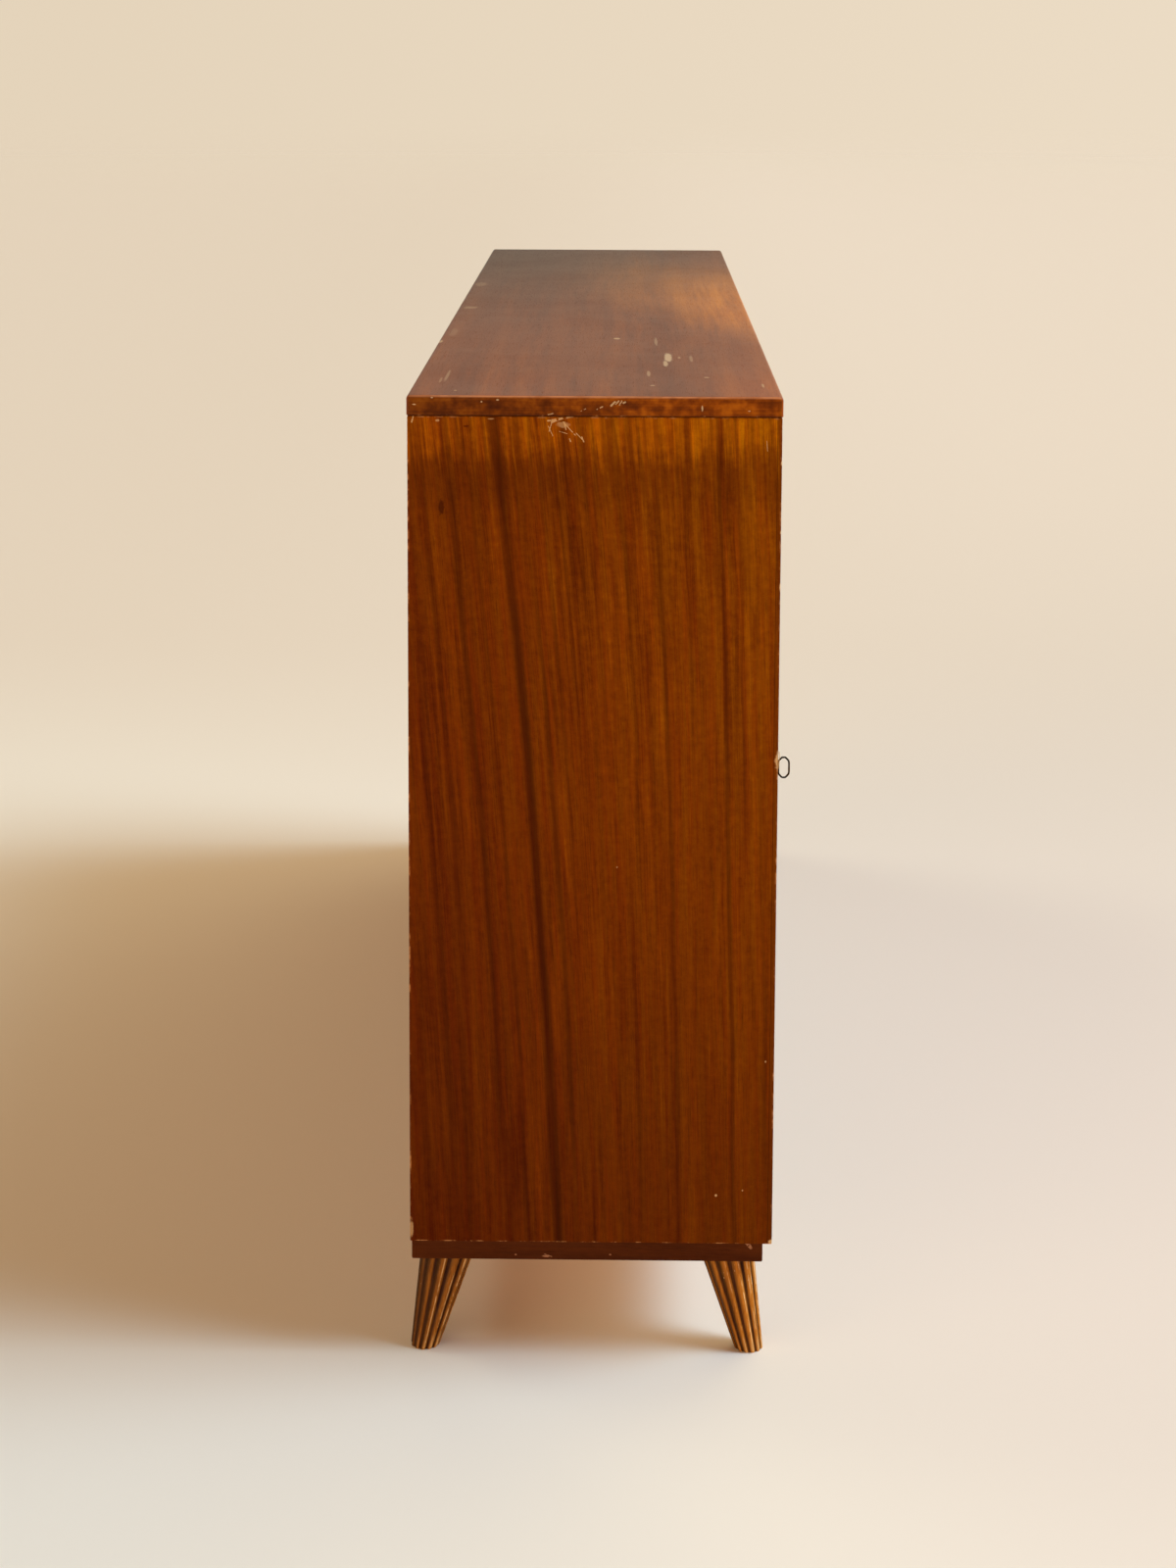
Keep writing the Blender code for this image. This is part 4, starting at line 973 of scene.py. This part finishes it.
def make_screws(steel_brass, iron):
    """Screws where each fitting is held to its board."""
    for end, side in SIDES:
        make_hinge_screws(end, side, steel_brass)
        low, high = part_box("lock_case_" + end)
        screws("lock_screws_" + end, "door_outer_" + end, steel_brass,
               corners(low, high, high.y, LOCK_INSET), (0, 1, 0), SCREW_RADIUS["lock"])
        low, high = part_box("lock_strike_" + end)
        middle = (low.x + high.x) / 2
        face = DOOR_BACK + FIT + PLATE
        places = [(middle, face, z) for z in (low.z + STRIKE_INSET, high.z - STRIKE_INSET)]
        screws("strike_screws_" + end, "door_inner_" + end, steel_brass,
               places, (0, 1, 0), SCREW_RADIUS["strike"])
        for level in ("top", "bottom"):
            low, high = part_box("slide_bolt_guide_" + end + "_" + level)
            screws("guide_screws_" + end + "_" + level, "door_inner_" + end, steel_brass,
                   corners(low, high, face, GUIDE_INSET), (0, 1, 0), SCREW_RADIUS["guide"])
        low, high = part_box("door_stop_" + end)
        places = [(low.x + (high.x - low.x) * share, (low.y + high.y) / 2, low.z)
                  for share in STOP_SHARES]
        screws("stop_screws_" + end, "case", iron,
               places, (0, 0, -1), SCREW_RADIUS["stop"], 0.0005)
        bm = bmesh.new()
        for rise in (-ESCUTCHEON_PINS, ESCUTCHEON_PINS):
            middle = (side * KEY_X, ESCUTCHEON_FACE, KEY_Z - ESCUTCHEON_DROP + rise)
            pin_head(bm, middle, (0, -1, 0), 0.0011, 0.0006)
        piece("escutcheon_pins_" + end, bm, "door_outer_" + end, steel_brass, sharp=60)
    low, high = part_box("back_panel")
    places = [(low.x + (high.x - low.x) * (i + 0.5) / BACK_COLUMNS, high.y, z)
              for i in range(BACK_COLUMNS) for z in (low.z + BACK_INSET[1], high.z - BACK_INSET[1])]
    places += [(x, high.y, low.z + (high.z - low.z) * i / BACK_ROWS)
               for i in range(1, BACK_ROWS) for x in (low.x + BACK_INSET[0], high.x - BACK_INSET[0])]
    screws("back_panel_screws", "case", iron,
           places, (0, 1, 0), SCREW_RADIUS["back"], 0.0006)


def pin_head(bm, middle, normal, radius, height):
    """A small round head."""
    middle = Vector(middle)
    normal = Vector(normal)
    side = normal.orthogonal().normalized()
    up = normal.cross(side)
    rings = []
    for share, rise in ((1.0, -0.2), (1.0, 0.25), (0.82, 0.65), (0.5, 0.92), (0.15, 1.0)):
        ring = []
        for i in range(14):
            angle = math.tau * i / 14
            around = side * math.cos(angle) + up * math.sin(angle)
            ring.append(middle + around * radius * share + normal * height * rise)
        rings.append(ring)
    loft(bm, rings)


# The sliver's sections: (the height, how far it stands out, the width)
SLIVER_SECTIONS = (
    (0.6700, 0.0001, 0.0010), (0.6730, 0.0007, 0.0018), (0.6790, 0.0013, 0.0024),
    (0.6850, 0.0017, 0.0022), (0.6885, 0.0014, 0.0014), (0.6900, 0.0010, 0.0006),
)
SLIVER_X = -0.9988


def make_sliver(material):
    """A lifted sliver of veneer on the near front edge, beside the key."""
    bm = bmesh.new()
    rings = []
    for z, out, width in SLIVER_SECTIONS:
        y = FRONT - out
        x = SLIVER_X
        rings.append([
            (x - width / 2, y, z), (x + width / 2, y - 0.0001, z),
            (x + width / 2, y + 0.0006, z), (x - width / 2, y + 0.0006, z),
        ])
    loft(bm, rings)
    piece("lifted_sliver", bm, "case", material, sharp=50)


def dress(node, material):
    """Gives a part of the model its finish."""
    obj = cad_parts[node]
    for slot in obj.material_slots:
        slot.link = "OBJECT"
        slot.material = material


BOARD_GRAIN = {
    "bottom_panel": "X",
    "shelf_left": "X",
    "shelf_right": "X",
    "centre_partition": "Z",
    "door_outer_left": "Z",
    "door_inner_left": "Z",
    "door_inner_right": "Z",
    "door_outer_right": "Z",
}
PLINTH_GRAIN = {
    "door_stop_left": "X",
    "door_stop_right": "X",
    "plinth_front": "X",
    "plinth_back": "X",
    "plinth_left": "Y",
    "plinth_right": "Y",
}


def dress_nodes():
    polished = brass("polished_brass", (226, 178, 106), (120, 84, 44), 0.45, 0.26)
    dulled = brass("dulled_brass", (72, 54, 26), (34, 24, 8), 0.6, 0.46)
    iron = brass("rusty_iron", (120, 96, 76), (70, 44, 30), 0.7, 0.55)
    dress("top_panel", top_veneer("top_panel_veneer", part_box("top_panel")))
    for end, _ in SIDES:
        name = "side_panel_" + end
        dress(name, end_panel_veneer(name + "_veneer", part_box(name), end == "left"))
    for seed, (node, along) in enumerate(BOARD_GRAIN.items()):
        veneer = plain_veneer(node + "_veneer", along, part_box(node), 0.4 + seed * 0.37,
                              bare_below=node == "bottom_panel")
        dress(node, veneer)
    for seed, (node, along) in enumerate(PLINTH_GRAIN.items()):
        dress(node, plinth_wood(node + "_wood", along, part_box(node), 0.2 + seed * 0.53))
    dress("back_panel", plywood("back_panel_ply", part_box("back_panel"), 0.9))
    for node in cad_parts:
        if node.startswith("leg_block"):
            block = plain_veneer(node + "_wood", "Z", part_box(node), 0.3, BLOCK_TONES, roughness=0.7)
            dress(node, block)
        elif node.startswith(("hinge_", "lock_", "slide_", "escutcheon")):
            dress(node, polished)
    for end, side in SIDES:
        make_key(end, side, dulled)
        for depth_label, out in DEPTHS:
            make_leg(end, side, depth_label, out)
    make_screws(polished, iron)
    make_sliver(plain_veneer("sliver_wood", "Z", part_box("side_panel_left"), 0.1, SLIVER_TONES))


# Studio

def make_floor():
    bm = bmesh.new()
    bmesh.ops.create_circle(bm, cap_ends=True, segments=128, radius=FLOOR_RADIUS)
    mesh = bpy.data.meshes.new("studio_floor")
    bm.to_mesh(mesh)
    bm.free()
    floor = bpy.data.objects.new("studio_floor", mesh)
    bpy.context.scene.collection.objects.link(floor)

    recipe = Finish("studio_floor_paper")
    place = recipe.place()
    colour = floor_colour(recipe, place)
    shader = recipe.node("BsdfDiffuse", {"Color": colour})
    fade = recipe.band(recipe.length(place), *FLOOR_FADE)
    clear = recipe.node("BsdfTransparent")
    mixed = recipe.node("MixShader", {0: fade, 1: shader.outputs[0], 2: clear.outputs[0]})
    recipe.node("OutputMaterial", {"Surface": mixed.outputs[0]})
    mesh.materials.append(recipe.material)


def floor_colour(recipe, place):
    """Paper that is a little paler towards the front and the near end."""
    x, y, _ = recipe.split(place)
    to_left = recipe.band(y, -1.6, 1.6)
    to_far = recipe.band(x, *FLOOR_NEAR)
    pale = {name: linear(colour) for name, colour in FLOOR_COLOURS.items()}
    near = recipe.mix(to_left, pale["near_right"], pale["near_left"])
    far = recipe.mix(to_left, pale["far_right"], pale["far_left"])
    return recipe.mix(to_far, near, far)


def make_world():
    """A few wide soft lights, and a paper-coloured background."""
    world = bpy.data.worlds.new("studio")
    bpy.context.scene.world = world
    world.use_nodes = True
    recipe = Recipe(world.node_tree)
    direction = recipe.node("TexCoord").outputs["Generated"]
    x, y, z = recipe.split(direction)
    flat = recipe.node("VectorMath", {0: recipe.join(x, y, 0.0)}, operation="NORMALIZE").outputs[0]
    light = recipe.node("RGB").outputs[0]
    light.default_value = (*FILL_COLOUR, 1.0)
    for azimuth, reach, height, rise, colour in LIGHT_LOBES:
        turn = math.radians(azimuth)
        centre = (math.sin(turn), -math.cos(turn), 0.0)
        aside = recipe.math("ARCCOSINE", recipe.dot(flat, centre))
        above = recipe.math("ABSOLUTE", recipe.minus(z, height))
        share = recipe.product(
            recipe.band(aside, 0.0, math.radians(reach), 1.0, 0.0),
            recipe.band(above, 0.0, rise, 1.0, 0.0),
        )
        light = recipe.vector("ADD", light, recipe.scaled(colour, share))
    pale = [linear(FLOOR_COLOURS[name]) for name in ("far_right", "far_left")]
    paper = recipe.mix(recipe.band(y, -0.3, 0.3), *pale)
    path = recipe.node("LightPath")
    seen = recipe.most(
        path.outputs["Is Camera Ray"],
        path.outputs["Is Glossy Ray"],
        path.outputs["Is Transmission Ray"],
    )
    colour = recipe.mix(seen, light, paper)
    background = recipe.node("Background", {"Color": colour, "Strength": 1.0})
    recipe.node("OutputWorld", {"Surface": background.outputs[0]})


def make_camera():
    data = bpy.data.cameras.new("camera")
    data.lens = CAMERA_LENS
    data.sensor_width = 36.0
    data.shift_y = CAMERA_SHIFT
    data.clip_end = 200.0
    camera = bpy.data.objects.new("camera", data)
    bpy.context.scene.collection.objects.link(camera)
    ahead = Vector((math.cos(CAMERA_YAW), math.sin(CAMERA_YAW), 0.0))
    forward = ahead * math.cos(CAMERA_PITCH) - Vector((0, 0, math.sin(CAMERA_PITCH)))
    level = Vector((ahead.y, -ahead.x, 0.0))
    upright = level.cross(forward)
    right = level * math.cos(CAMERA_ROLL) + upright * math.sin(CAMERA_ROLL)
    up = upright * math.cos(CAMERA_ROLL) - level * math.sin(CAMERA_ROLL)
    turn = Matrix((right, up, -forward)).transposed()
    camera.matrix_world = Matrix.Translation(CAMERA_PLACE) @ turn.to_4x4()
    bpy.context.scene.camera = camera


def main():
    bpy.context.scene.view_settings.view_transform = "Standard"
    make_camera()
    make_world()
    make_floor()
    dress_nodes()


main()
